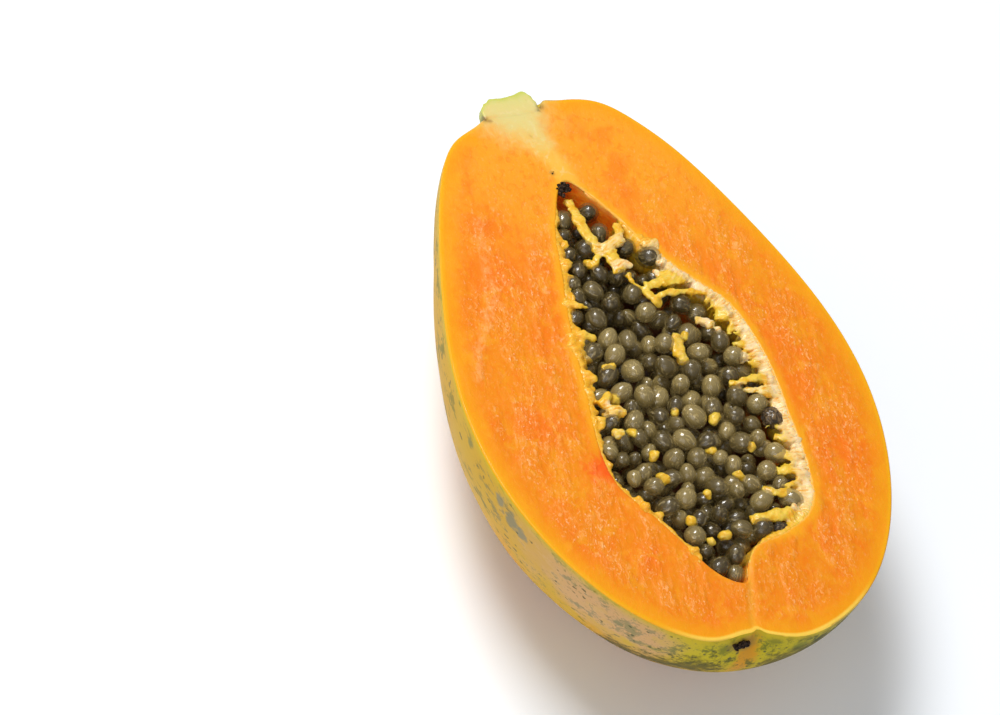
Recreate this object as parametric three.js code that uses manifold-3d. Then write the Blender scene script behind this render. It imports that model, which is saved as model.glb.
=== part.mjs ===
// A ripe papaya cut in half along its length, lying on its skin with the cut face up.
// Lengths are in millimetres. The fruit lies along Y with its stem end towards +Y.
// The shapes are worked out with the cut face at z = 0, and the whole half is moved at the end
// so that the origin is under the middle of its box, on the surface that it rests on.
import * as THREE from 'three';
import { mergeVertices } from 'three/addons/utils/BufferGeometryUtils.js';
import Module from 'manifold-3d';

// The fruit: its length without the stub, its greatest width and its depth below the cut face
const LENGTH = 178;
const WIDTH = 119;
const DEPTH_SHARE = 0.949;
// How the outline departs from an ellipse, as waves along the length: fuller towards the blossom end
const FULLNESS = [0.063, 0.07, -0.038, 0.033];
// The right side is a little fuller than the left, more so towards the stem
const LEAN = 0.024;
const LEAN_TAPER = -0.035;
// Local dents and swells of the skin: the blossom dimple and the two shoulders by the stem
const DENTS = [
  { x: -8, y: -88.5, reach: 9, pushX: 0, pushY: 4 },
  { x: 21, y: 84, reach: 10, pushX: 0.9, pushY: 1.6 },
  { x: -17, y: 84, reach: 8, pushX: 0.9, pushY: -1.8 },
];
// The small flat that the half rests on is this much off the lowest point
const REST_CUT = 1.1;
const STEPS_ALONG = 48;
const STEPS_ROUND = 24;

// The seed cavity: its outline on the cut face, its middle and its depth
const CAVITY_OUTLINE = [
  [1, 60.5], [9.5, 48.5], [14.5, 37.5], [21, 26.5], [30.5, 12.5], [33, -6], [31, -26],
  [29, -41], [24.5, -52.5], [14, -58], [5.5, -60], [0.5, -64], [-3.5, -70], [-10.5, -64.5],
  [-17, -50], [-24.5, -36], [-25, -24], [-21, -6], [-17, 14], [-12, 32], [-7.5, 47],
];
const CAVITY_MIDDLE = { x: 3, y: -10 };
const CAVITY_DEPTH = 27;
const CAVITY_STEEPNESS = 0.75;
const CAVITY_SIDES = 48;
const CAVITY_RINGS = 6;

// The pale pulp that lines the cavity, a little below the cut face and clear of what touches it
const GAP = 0.45;
const LINING = 1;
const LINING_TOP = -0.4;
// The fringe of pulp stands further in from the right wall than from the left
const FRINGE_LEFT = 0;
const FRINGE_RIGHT = 3;
// Nubs of pulp all round the wall: a blunt root sunk in the lining and a narrower tip
const NUBS = 90;
const NUB_RADIUS = [0.8, 1.8];
const NUB_TAPER = 0.45;
const NUB_REACH = 1.2;
const NUB_ROOT = 0.3;
const NUB_SIDES = 5;
const NUB_SHARES = [1, 0.7, 0.45, 0.25];
// Each strand starts in the lining and tapers to its free end
const STRANDS = [
  {
    points: [[-1.5, 57, -3], [-1.2, 51, -2.8], [0.2, 43, -2.2], [2.6, 35, -1.8]],
    thick: 1.5,
    thin: 1,
  },
  {
    points: [[16.5, 35.5, -2.6], [12, 36.5, -1.2], [8.5, 35, 0.2], [5.6, 31, -1.2]],
    thick: 1.7,
    thin: 1.2,
  },
  {
    points: [[29, 17.5, -2.4], [22, 22, -0.4], [14.5, 23.5, 0.3], [8.5, 21.5, -0.8], [5, 17, -2]],
    thick: 2,
    thin: 1.1,
  },
  { points: [[14.5, 40, -3], [10.4, 43, -1], [8, 42.5, 0]], thick: 1.4, thin: 1 },
];
const STRAND_SIDES = 6;
const STRAND_STEPS = 6;

// The seeds are egg-shaped, each a little larger or smaller than the next
const SEED_RADIUS = 2.75;
const SEED_SPREAD = 0.24;
const SEED_STRETCH = 0.13;
const SEED_SIDES = 6;
const SEED_ROWS = 4;
// A seed with few sides is drawn this much larger, so that it looks as large as a round one
const SEED_ROUNDING = 1.08;
const SEED_TIP = (1 + SEED_STRETCH) * SEED_ROUNDING;
// They lie in a heap on a smaller mass of the same seeds, which fills the cavity below them
const HEAP_FLOOR = -5.2;
const HEAP_TOP = -1.6;
const HEAP_SINK = 0.25;
const HEAP_AREA = { left: -26, right: 34, front: -71, back: 62 };
const SEED_CONTACT = 0.93;
const SEED_TRIES = 8;
const SEED_NUDGES = 24;
const SEED_MISSES = 40;
const HEAP_DRAW = 7;
const NUB_DRAW = 23;

// The stub of the stem, left on the fruit and cut through with it: radius and place along the fruit
const STUB_MIDDLE = -4.5;
const STUB_TILT = 0.05;
const STUB_PROFILE = [[8.9, 80.5], [8.5, 85], [7.8, 88.5], [7.5, 90.4], [6.4, 91.8], [3, 92.3]];
const STUB_SIDES = 24;

const FINISH = {
  flesh: { color: 0xf59527, roughness: 0.45, metalness: 0 },
  stub: { color: 0xd6d47a, roughness: 0.6, metalness: 0 },
  pulp: { color: 0xf3c648, roughness: 0.5, metalness: 0 },
  seeds: { color: 0x5f5a45, roughness: 0.3, metalness: 0 },
};

const wasm = await Module();
wasm.setup();

// Random numbers from 0 to 1 that come out alike on every run
function randomFrom(seed) {
  let state = seed;
  return () => {
    state = (state + 0x6d2b79f5) | 0;
    let mixed = Math.imul(state ^ (state >>> 15), 1 | state);
    mixed = (mixed + Math.imul(mixed ^ (mixed >>> 7), 61 | mixed)) ^ mixed;
    return ((mixed ^ (mixed >>> 14)) >>> 0) / 4294967296;
  };
}

function solidFrom(geometry) {
  const bare = geometry.clone();
  bare.deleteAttribute('normal');
  bare.deleteAttribute('uv');
  const merged = mergeVertices(bare, 1e-5);
  const vertProperties = new Float32Array(merged.attributes.position.array);
  const triVerts = new Uint32Array(merged.index.array);
  return new wasm.Manifold(new wasm.Mesh({ numProp: 3, vertProperties, triVerts }));
}

function geometryFrom(solid) {
  const mesh = solid.getMesh();
  const geometry = new THREE.BufferGeometry();
  geometry.setAttribute('position', new THREE.BufferAttribute(new Float32Array(mesh.vertProperties), 3));
  geometry.setIndex(new THREE.BufferAttribute(new Uint32Array(mesh.triVerts), 1));
  geometry.computeVertexNormals();
  return geometry;
}

// Fusing leaves loose scraps and sealed hollows now and then: only the main body is kept
function mainBody(solid) {
  const bodies = solid.decompose();
  return bodies.reduce((largest, body) => (body.volume() > largest.volume() ? body : largest));
}

// A closed skin over a stack of rings, with a point at its first and its last end
function skinOver(first, rings, last) {
  const sides = rings[0].length;
  const points = [first, ...rings.flat(), last];
  const index = [];
  for (let side = 0; side < sides; side += 1) {
    const next = (side + 1) % sides;
    index.push(0, 1 + side, 1 + next);
    for (let ring = 0; ring < rings.length - 1; ring += 1) {
      const near = 1 + ring * sides;
      const far = near + sides;
      index.push(near + side, far + side, far + next);
      index.push(near + side, far + next, near + next);
    }
    const edge = 1 + (rings.length - 1) * sides;
    index.push(edge + side, points.length - 1, edge + next);
  }
  const geometry = new THREE.BufferGeometry().setFromPoints(points);
  geometry.setIndex(index);
  return geometry;
}

// The girth of the fruit at an angle of 0 at the blossom end to pi at the stem end
function girth(along) {
  const swell = FULLNESS.reduce((sum, wave, order) => sum + wave * Math.cos((order + 1) * along), 1);
  return (WIDTH / 2) * Math.sin(along) * swell;
}

// A point of the skin: round is 0 at the right rim, a quarter turn at the keel and pi at the left rim
function skinPoint(along, round) {
  const lean = 1 + (LEAN + LEAN_TAPER * Math.cos(along)) * Math.cos(round);
  const x = girth(along) * lean * Math.cos(round);
  const y = (-LENGTH / 2) * Math.cos(along);
  const z = -DEPTH_SHARE * girth(along) * Math.sin(round);
  const point = new THREE.Vector3(x, y, z);
  for (const dent of DENTS) {
    const away = ((x - dent.x) ** 2 + (y - dent.y) ** 2 + z ** 2) / dent.reach ** 2;
    point.x += dent.pushX * Math.exp(-away);
    point.y += dent.pushY * Math.exp(-away);
  }
  return point;
}

// The half before it is hollowed: each ring runs round the skin and back across the cut face
function halfSolid() {
  const rings = [];
  for (let step = 1; step < STEPS_ALONG; step += 1) {
    const along = (Math.PI * step) / STEPS_ALONG;
    const ring = [];
    for (let turn = 0; turn <= STEPS_ROUND; turn += 1) {
      ring.push(skinPoint(along, (Math.PI * turn) / STEPS_ROUND));
    }
    const left = ring[ring.length - 1];
    ring.push(left.clone().lerp(ring[0], 0.5));
    rings.push(ring.reverse());
  }
  const blossomEnd = skinPoint(0, 0);
  const stemEnd = skinPoint(Math.PI, 0);
  return solidFrom(skinOver(blossomEnd, rings, stemEnd));
}

const cavityCurve = new THREE.CatmullRomCurve3(
  CAVITY_OUTLINE.map(([x, y]) => new THREE.Vector3(x, y, 0)), true, 'centripetal');
// The outline as evenly spaced points, running anticlockwise seen from above
const cavityPoints = cavityCurve.getSpacedPoints(CAVITY_SIDES).slice(0, CAVITY_SIDES).reverse();

// One ring of the bowl-shaped cavity, drawn in from its wall: sink is 0 at the cut face, 1 at the bottom
function bowlRing(inset, sink, z = -(CAVITY_DEPTH - inset) * sink) {
  const shrink = Math.cos(Math.asin(sink)) ** CAVITY_STEEPNESS;
  return cavityPoints.map((point) => {
    const dx = point.x - CAVITY_MIDDLE.x;
    const dy = point.y - CAVITY_MIDDLE.y;
    const keep = (1 - inset / Math.hypot(dx, dy)) * shrink;
    return new THREE.Vector3(CAVITY_MIDDLE.x + dx * keep, CAVITY_MIDDLE.y + dy * keep, z);
  });
}

function bowlRings(inset, topSink) {
  const rings = [];
  for (let ring = 0; ring < CAVITY_RINGS; ring += 1) {
    const tilt = Math.asin(topSink) + ((Math.PI / 2 - Math.asin(topSink)) * ring) / CAVITY_RINGS;
    rings.push(bowlRing(inset, Math.sin(tilt)));
  }
  return rings;
}

function bowlMiddle(z) {
  return new THREE.Vector3(CAVITY_MIDDLE.x, CAVITY_MIDDLE.y, z);
}

function cavitySolid() {
  const lid = 2;
  const rings = [bowlRing(0, 0, lid), ...bowlRings(0, 0)];
  return solidFrom(skinOver(bowlMiddle(lid), rings, bowlMiddle(-CAVITY_DEPTH)));
}

// The stub is turned about its own axis, tipped a little and cut level with the cut face
function stubSolid(grow) {
  const profile = STUB_PROFILE.map(([radius, y]) => new THREE.Vector2(radius + grow, y));
  const foot = new THREE.Vector2(0, STUB_PROFILE[0][1] - grow);
  const tip = new THREE.Vector2(0, STUB_PROFILE.at(-1)[1] + grow);
  profile[0].y -= grow;
  profile[profile.length - 1].y += grow;
  const lathe = new THREE.LatheGeometry([foot, ...profile, tip], STUB_SIDES);
  const places = lathe.attributes.position;
  for (let corner = 0; corner < places.count; corner += 1) {
    places.setY(corner, places.getY(corner) + STUB_TILT * places.getX(corner));
  }
  lathe.translate(STUB_MIDDLE, 0, 0);
  const block = 40;
  const above = new THREE.BoxGeometry(block, block, block);
  above.translate(STUB_MIDDLE, LENGTH / 2, block / 2 + grow);
  return solidFrom(lathe).subtract(solidFrom(above));
}

function fruitSolid() {
  const girths = Array.from({ length: 180 }, (_, step) => girth((Math.PI * step) / 180));
  const lowest = -DEPTH_SHARE * Math.max(...girths);
  const block = 20;
  const below = new THREE.BoxGeometry(WIDTH, LENGTH, block);
  below.translate(0, 0, lowest + REST_CUT - block / 2);
  const hollowed = halfSolid().subtract(cavitySolid());
  return hollowed.subtract(stubSolid(GAP)).subtract(solidFrom(below));
}

// How far a spot on the cut face lies inside the cavity's outline, and below 0 outside it
function depthInside(x, y) {
  let nearest = Infinity;
  let inside = false;
  cavityPoints.forEach((start, side) => {
    const end = cavityPoints[(side + 1) % CAVITY_SIDES];
    const dx = end.x - start.x;
    const dy = end.y - start.y;
    const share = ((x - start.x) * dx + (y - start.y) * dy) / (dx * dx + dy * dy);
    const held = Math.min(1, Math.max(0, share));
    nearest = Math.min(nearest, Math.hypot(x - start.x - held * dx, y - start.y - held * dy));
    if (start.y > y !== end.y > y && x < start.x + (dx * (y - start.y)) / dy) {
      inside = !inside;
    }
  });
  return inside ? nearest : -nearest;
}

function fringeAt(x, y) {
  const facing = Math.max(0, Math.cos(Math.atan2((y - CAVITY_MIDDLE.y) / 2, x - CAVITY_MIDDLE.x)));
  return FRINGE_LEFT + (FRINGE_RIGHT - FRINGE_LEFT) * facing;
}

// How far the wall has come in at a depth below the cut face
function wallSlope(z) {
  const sink = Math.min(1, Math.max(0, -z / CAVITY_DEPTH));
  return CAVITY_DEPTH * (1 - Math.cos(Math.asin(sink)) ** CAVITY_STEEPNESS);
}

function strandPath(strand) {
  const curve = new THREE.CatmullRomCurve3(strand.points.map((point) => new THREE.Vector3(...point)));
  return curve.getSpacedPoints(STRAND_STEPS);
}

function strandRadius(strand, step) {
  return strand.thick + ((strand.thin - strand.thick) * step) / STRAND_STEPS;
}

function clearOfStrands(seed) {
  return STRANDS.every((strand) => strandPath(strand).every((point, step) => {
    const reach = seed.radius * SEED_TIP + strandRadius(strand, step) + GAP;
    return point.distanceTo(seed.place) > reach;
  }));
}

// The height at which a seed comes to rest on those that lie there already
function restingHeight(x, y, radius, heap) {
  let height = HEAP_FLOOR + HEAP_SINK * radius;
  for (const seed of heap) {
    const reach = SEED_CONTACT * (seed.radius + radius);
    const apart = Math.hypot(x - seed.place.x, y - seed.place.y);
    if (apart < reach) {
      height = Math.max(height, seed.place.z + Math.sqrt(reach * reach - apart * apart));
    }
  }
  return height;
}

// A seed let down at one spot, or nothing where the wall or a strand is in its way
function seedAt(x, y, radius, heap) {
  const z = restingHeight(x, y, radius, heap);
  const room = depthInside(x, y) - wallSlope(z) - LINING - 2 * GAP - fringeAt(x, y);
  const seed = { place: new THREE.Vector3(x, y, z), radius };
  return room > radius && clearOfStrands(seed) ? seed : null;
}

function lowerOf(seed, other) {
  return other && (!seed || other.place.z < seed.place.z) ? other : seed;
}

// Seeds drop one by one at the lowest of a few random spots, and each is nudged until it lies lower still
function heapOfSeeds() {
  const random = randomFrom(HEAP_DRAW);
  const heap = [];
  let misses = 0;
  while (misses < SEED_MISSES) {
    const radius = SEED_RADIUS * (1 - SEED_SPREAD / 2 + SEED_SPREAD * random());
    let seed = null;
    for (let attempt = 0; attempt < SEED_TRIES; attempt += 1) {
      const x = HEAP_AREA.left + (HEAP_AREA.right - HEAP_AREA.left) * random();
      const y = HEAP_AREA.front + (HEAP_AREA.back - HEAP_AREA.front) * random();
      seed = lowerOf(seed, seedAt(x, y, radius, heap));
    }
    for (let nudge = 0; seed && nudge < SEED_NUDGES; nudge += 1) {
      const push = radius * (1 - nudge / SEED_NUDGES);
      const x = seed.place.x + push * (2 * random() - 1);
      const y = seed.place.y + push * (2 * random() - 1);
      seed = lowerOf(seed, seedAt(x, y, radius, heap));
    }
    const axis = new THREE.Vector3(random() - 0.5, random() - 0.5, random() - 0.5).normalize();
    if (seed && seed.place.z < HEAP_TOP) {
      heap.push({ ...seed, axis });
      misses = 0;
    } else {
      misses += 1;
    }
  }
  return heap;
}

const heap = heapOfSeeds();

function seedSolid(seed) {
  const geometry = new THREE.SphereGeometry(seed.radius * SEED_ROUNDING, SEED_SIDES, SEED_ROWS);
  const turn = new THREE.Quaternion().setFromUnitVectors(new THREE.Vector3(0, 1, 0), seed.axis);
  geometry.scale(1 - SEED_STRETCH / 2, 1 + SEED_STRETCH, 1 - SEED_STRETCH / 2);
  geometry.applyQuaternion(turn);
  geometry.translate(seed.place.x, seed.place.y, seed.place.z);
  return solidFrom(geometry);
}

function seedsSolid() {
  const inset = LINING + 2 * GAP;
  const rings = bowlRings(inset, -HEAP_FLOOR / (CAVITY_DEPTH - inset));
  const core = solidFrom(skinOver(bowlMiddle(HEAP_FLOOR), rings, bowlMiddle(inset - CAVITY_DEPTH)));
  return mainBody(wasm.Manifold.union([core, ...heap.map(seedSolid)]));
}

// A tapered round form along a row of points
function taperedSolid(path, radii, sides) {
  const rings = path.map((point, step) => {
    const before = path[Math.max(0, step - 1)];
    const after = path[Math.min(path.length - 1, step + 1)];
    const heading = after.clone().sub(before).normalize();
    const across = new THREE.Vector3(0, 0, 1).cross(heading).normalize();
    const over = heading.clone().cross(across);
    return Array.from({ length: sides }, (_, side) => {
      const turn = (2 * Math.PI * side) / sides;
      return point.clone()
        .addScaledVector(across, radii[step] * Math.cos(turn))
        .addScaledVector(over, radii[step] * Math.sin(turn));
    });
  });
  return solidFrom(skinOver(path[0], rings.map((ring) => ring.reverse()), path.at(-1)));
}

function strandSolid(strand) {
  const path = strandPath(strand);
  return taperedSolid(path, path.map((_, step) => strandRadius(strand, step)), STRAND_SIDES);
}

// Whether no seed is in the way of a tapered nub from its root to its tip
function clearOfSeeds(root, tip, radius) {
  const spine = new THREE.Line3(root, tip);
  return heap.every((seed) => {
    const nearest = spine.closestPointToPoint(seed.place, true, new THREE.Vector3());
    return nearest.distanceTo(seed.place) > seed.radius * SEED_TIP + radius;
  });
}

// Nubs stand out of the lining, large and small, as far in as the seeds leave room for
function nubSolids() {
  const random = randomFrom(NUB_DRAW);
  const nubs = [];
  for (let count = 0; count < NUBS; count += 1) {
    const wall = cavityCurve.getPointAt((count + 0.8 * random()) / NUBS);
    const inward = new THREE.Vector3(CAVITY_MIDDLE.x - wall.x, (CAVITY_MIDDLE.y - wall.y) / 3, 0).normalize();
    const radius = NUB_RADIUS[0] + (NUB_RADIUS[1] - NUB_RADIUS[0]) * random();
    const highest = LINING_TOP - radius / 2;
    const lowest = HEAP_FLOOR + GAP + radius;
    const height = lowest + (highest - lowest) * random();
    const root = wall.clone().addScaledVector(inward, GAP + LINING + wallSlope(height) - NUB_ROOT);
    root.z = height;
    const reach = NUB_REACH + (0.8 + 0.9 * random()) * fringeAt(wall.x, wall.y);
    const tips = NUB_SHARES.map((share) => {
      const tip = root.clone().addScaledVector(inward, NUB_ROOT + share * reach);
      tip.z += share;
      return tip;
    });
    const tip = tips.find((end) => clearOfSeeds(root, end, radius));
    if (tip) {
      nubs.push(taperedSolid([root, tip], [radius, radius * NUB_TAPER], NUB_SIDES));
    }
  }
  return nubs;
}

function pulpSolid() {
  const inset = GAP + LINING;
  const outer = bowlRings(GAP, -LINING_TOP / (CAVITY_DEPTH - GAP));
  const inner = bowlRings(inset, -LINING_TOP / (CAVITY_DEPTH - inset)).reverse();
  const outerEnd = bowlMiddle(GAP - CAVITY_DEPTH);
  const innerEnd = bowlMiddle(inset - CAVITY_DEPTH);
  const shell = solidFrom(skinOver(innerEnd, [...inner, ...outer], outerEnd));
  // The room that the pulp may take: within the wall, and free above the cut face
  const lid = 4;
  const rings = [bowlRing(GAP, 0, lid), ...bowlRings(GAP, 0)];
  const room = solidFrom(skinOver(bowlMiddle(lid), rings, outerEnd));
  const growth = wasm.Manifold.union([...nubSolids(), ...STRANDS.map(strandSolid)]);
  return mainBody(shell.add(growth.intersect(room)));
}

function pieceOf(name, solid, finish) {
  const mesh = new THREE.Mesh(geometryFrom(solid), new THREE.MeshStandardMaterial(finish));
  mesh.name = name;
  return mesh;
}

const group = new THREE.Group();
group.add(pieceOf('fruit_half', fruitSolid(), FINISH.flesh));
group.add(pieceOf('stem_stub', stubSolid(0), FINISH.stub));
group.add(pieceOf('pulp', pulpSolid(), FINISH.pulp));
group.add(pieceOf('seeds', seedsSolid(), FINISH.seeds));

const box = new THREE.Box3().setFromObject(group);
const middle = box.getCenter(new THREE.Vector3());
group.position.set(-middle.x, -middle.y, -box.min.z);

export default group;
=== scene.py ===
"""The looks of a ripe papaya cut in half: moist flesh, speckled skin, pulp, wet seeds and the stem stub.

Shapes are worked out in millimetres in the fruit's own frame: the cut face at z = 0, the stem end
towards +y and the middle of the length at y = 0. placed() moves them into the part's frame, in metres.
"""
import math
import random

import bpy
import numpy as np
from mathutils import Matrix, Vector, noise


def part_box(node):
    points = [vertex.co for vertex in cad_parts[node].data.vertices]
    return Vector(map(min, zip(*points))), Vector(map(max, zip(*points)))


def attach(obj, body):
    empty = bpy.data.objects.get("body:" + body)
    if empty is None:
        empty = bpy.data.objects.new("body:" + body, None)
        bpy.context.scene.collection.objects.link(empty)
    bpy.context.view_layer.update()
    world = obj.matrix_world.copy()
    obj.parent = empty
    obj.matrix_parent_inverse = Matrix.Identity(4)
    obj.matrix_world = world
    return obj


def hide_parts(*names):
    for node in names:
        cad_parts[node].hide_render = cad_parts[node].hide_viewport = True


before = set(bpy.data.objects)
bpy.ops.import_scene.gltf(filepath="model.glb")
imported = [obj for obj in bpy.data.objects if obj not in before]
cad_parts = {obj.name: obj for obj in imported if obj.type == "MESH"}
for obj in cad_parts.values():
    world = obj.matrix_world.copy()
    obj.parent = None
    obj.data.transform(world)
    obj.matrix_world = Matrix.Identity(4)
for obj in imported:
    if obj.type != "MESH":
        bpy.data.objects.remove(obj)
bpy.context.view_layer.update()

MM = 0.001

# The fruit, as in the solids: length, width, depth, how its outline departs from an ellipse, how far its
# keel lies towards one side, and how much of the keel is pressed flat
LENGTH = 178.0
WIDTH = 119.0
DEPTH_SHARE = 0.949
FULLNESS = (0.063, 0.07, -0.038, 0.033)
LEAN = 0.024
LEAN_TAPER = -0.035
REST_CUT = 1.1
# Local dents and swells of the skin: x, y, reach, push across and push along
DENTS = ((-8, -88.5, 9, 0, 4), (21, 84, 10, 0.9, 1.6), (-17, 84, 8, 0.9, -1.8))
# The narrow crease: its place across, half width, depth and reach down the skin, and the end that it is on
CREASE = (-6.2, 1.3, 1.1, 7.0)
CREASE_FROM = -70
# The notch right of the stub and the shoulder next to it: x, y, reach and push along
SHOULDERS = ((3.9, 88.4, 1.3, -2.9), (10.0, 88.5, 4.0, -0.4))
# The bevel along the rim
BEVEL = 0.3
# Broad unevenness of the skin: height, width, and the depth below the rim where it is full
SKIN_SWELL = (0.35, 26, 12)
# How far down the skin the rim's own colour reaches
RIM_LINE = 1.9
# How finely the skin is divided, along the fruit and round it
SKIN_ALONG = 256
SKIN_ROUND = 144

# The seed cavity: outline on the cut face from the stem end round by the right, which of its points is the
# one at the blossom end, its middle, how its middle line slants, its depth, how steep its wall is, and the
# rings of the cut face and of the wall
CAVITY_OUTLINE = (
    (1, 60.5), (9.5, 48.5), (14.5, 37.5), (21, 26.5), (30.5, 12.5), (33, -6), (31, -26),
    (29, -41), (24.5, -52.5), (14, -58), (5.5, -60), (0.5, -64), (-3.5, -70), (-10.5, -64.5),
    (-17, -50), (-24.5, -36), (-25, -24), (-21, -6), (-17, 14), (-12, 32), (-7.5, 47),
)
BLOSSOM_TIP = 12
CAVITY_MIDDLE = (3.0, -10.0)
CAVITY_SLANT = 0.09
CAVITY_DEPTH = 27.0
CAVITY_STEEPNESS = 0.75
CUT_ROWS = 44
CAVITY_ROWS = 30

# The pulp: width of its band on the cut face at places along the fruit, on the right and left walls, how deep
# it reaches, how fine its grain is, and how many places on each wall bear lobes or fingers
BAND_RIGHT = ((-66, 0.5), (-60, 1.0), (-56, 2.4), (-50, 3.4), (-40, 3.6), (-20, 2.8), (0, 2.8),
              (15, 2.5), (28, 2.8), (36, 2.2), (43, 0.8), (48, -0.7), (60, -0.7))
BAND_LEFT = ((-66, -0.5), (-60, 0.6), (-50, 1.0), (-40, 1.4), (-28, 1.3), (-20, 1.7), (-8, 2.0),
             (4, 1.7), (14, 2.4), (32, 2.4), (42, 1.9), (50, 1.2), (55, -0.5), (60, -0.7))
PULP_DEPTH = 9.0
PULP_GRAIN = 0.4
NUBS_LEFT = 30
FINGERS_RIGHT = 78

# The seeds: size, spread of size, stretch, how much thinner one end is, and how close they come to each other,
# to the cavity's wall and pulp, and to those that are laid first
SEED_RADIUS = 2.7
SEED_SPREAD = 0.28
SEED_STRETCH = 0.13
SEED_TAPER = 0.12
SEED_CONTACT = 0.95
WALL_CONTACT = 0.95
PULP_CONTACT = 0.85
LAID_CONTACT = 0.93
BLOCKED_CONTACT = 0.9
# The heap: how many seeds it may have, how many spots each tries and how often it is then nudged, how many
# may fail in a row, its floor, how far seeds sink into that, its top, and its area: left, right, front, back
SEED_LIMIT = 880
SEED_TRIES = 6
SEED_NUDGES = 24
SEED_MISSES = 140
HEAP_FLOOR = -11.0
HEAP_SINK = 0.25
HEAP_TOP = -2.4
HEAP_AREA = (-26, 34, -71, 62)
# Places where the heap lies deeper: x, y, reach and depth
HEAP_DIPS = (
    (-1.5, 13, 6, 9), (0, 4, 4, 7), (10, 17, 4, 8), (28, 28, 5, 4), (2, 52, 11, 7), (18, -1, 4, 7),
    (-16, 11, 3, 8),
)
KERNEL_SHARE = 0.75
# How much paler the coats are along the fruit
SEED_PALENESS = ((-60, -46, -36, 8, 22, 40), (-0.3, -0.15, 0.15, 0.12, -0.4, -0.5))
# Seeds that are laid first and show on top, each a little lower than those before it that it touches: how
# high they lie, how much that varies, how low they may come; then x, y and radius of each
LAID_TOP = -1.6
LAID_SCATTER = 0.5
LAID_LOWEST = -6.5
LAID_SEEDS = (
    (5.3, 51.9, 3), (-2.8, 50.2, 3), (4.9, 43.3, 2.9), (-1.4, 38.5, 3.1), (10.4, 37.5, 2.9),
    (15.3, 33.2, 3.3), (-5.2, 44.7, 2.4), (14.4, 41.7, 2.1), (-6.9, 37.8, 2.2), (-5.5, 33.4, 3.1),
    (-1.2, 29.9, 2.6), (3.6, 28.4, 2.6), (-10.3, 28.5, 2.5), (-5.3, 24.9, 2.8), (5.5, 22.3, 2.8),
    (13.9, 25.9, 2.4), (-10.7, 23.5, 2.5), (-6.4, 23.7, 2.6), (6.9, 15.9, 3), (-8.2, 16, 3),
    (-14, 17.4, 2.5), (-2.4, 19.7, 2.9), (0.2, 17.2, 2.4), (17.9, 16.3, 2.9), (22.6, 14.5, 3.1),
    (12.6, 10.9, 2.5), (15.9, 7.2, 3), (23.6, 3.1, 2.8), (7.5, 5.1, 3), (-7.5, 9.5, 2.9), (-2.4, 7.9, 2.8),
    (-14.3, 5.5, 3), (-8.1, 4, 2.9), (-5.2, -1.8, 3.3), (-12.8, -2, 3), (4.6, -2, 3.1), (11.2, -4.9, 3),
    (15.6, 0.6, 2.9), (25.3, -2.6, 2.9), (27.7, -5.4, 3), (21.6, -8.5, 2.9), (-11.1, -7.5, 2.8),
    (-5.2, -9.7, 3), (-0.2, -10, 3), (6.3, -8.3, 2.6), (8.5, -12.3, 3), (14.9, -10.2, 2.8), (14.3, -13.4, 3),
    (20.4, -14.9, 3.1), (-9.5, -12.1, 2.6), (2.1, -14.3, 2.4), (-3.7, -16.5, 2.8), (12.1, -16.9, 2.9),
    (25.3, -18.2, 3), (5.6, -18.6, 3.3), (-11.4, -16.9, 2.9), (-6.7, -18.5, 2.8), (-18.2, -16.2, 2.8),
    (17.4, -20.6, 2.9), (13.8, -23.8, 2.6), (15.1, -28.9, 3.1), (20.5, -28.4, 2.4), (23, -29.5, 2.6),
    (5.6, -27, 3), (-0.2, -25.2, 3), (-5, -23.3, 3), (23.5, -33.9, 2.9), (-22.1, -24.4, 2.2),
    (-19.1, -26.9, 2.1), (-15.3, -27, 2.1), (-5.4, -30, 3), (1.2, -30.7, 2.9), (7.6, -32, 2.2),
    (11, -34.3, 2.6), (-13.8, -30.8, 2.8), (18.4, -38.6, 2.9), (-8.4, -35.4, 2.6), (-3.3, -34.6, 2.5),
    (1.8, -35.3, 3.1), (-14.8, -37, 2.6), (-18.8, -33.6, 2.1), (2.4, -40.5, 3.1), (12.4, -41.6, 2.6),
    (7.6, -42.8, 2.2), (-7.3, -42, 3.1), (3.9, -44.9, 2.6), (6.3, -48.3, 3), (12.9, -47.1, 3),
    (21.2, -48.2, 3), (-0.4, -48.5, 2.8), (-13.7, -43.8, 3.1), (-6.6, -49, 2.5), (-3.5, -51.3, 2.8),
    (8.9, -55.4, 3.1), (3.6, -54, 2.6), (-10.1, -53.3, 2.9), (-8.4, -58, 2.8), (-1.6, -61.3, 2.9),
    (-7.4, -63.5, 2.9), (-3.2, -65.9, 2.8), (-11.5, -21.7, 2.4), (-9.6, -25, 2.2), (20.2, -43.2, 2.1),
    (-1.9, -5.1, 2.4), (-0.1, -19.8, 2.4), (11.3, -24, 2.4), (-17, -21.6, 2.1), (-4.6, -38.7, 2.1),
    (17, -44.1, 2.1),
)
# How deep the laid seeds lie in the hollow near the stem: its start and end along the fruit, and depth
HOLLOW = (34, 52, 2.6)

# The stem stub: middle across, tilt and place of its top, and its radius at places along the fruit
STUB_MIDDLE = -5.0
STUB_TILT = 0.05
STUB_TOP = 91.3
STUB_PROFILE = (
    (8.9, 80.5), (8.8, 84), (8.7, 86.5), (8.6, 88.6), (8.1, 90.0), (7.2, 90.9), (5.2, STUB_TOP), (2, STUB_TOP),
)
# Swells and hollows of the stub's top edge: place across, half width and height
STUB_LOBES = ((0.9, 2.3, 0.9), (-13.0, 2.2, -1.0), (-5.0, 2.0, -0.25))
# From where the stub gets uneven, and over what length; and how far it lies under the cut face at its foot
STUB_UNEVEN = (84, 6)
STUB_SUNK = 0.6
# Points round the stub's underside and across its cut face, and rings between two of its profile's places
STUB_SIDES = 96
STUB_ACROSS = 24
STUB_STEPS = 6

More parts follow.
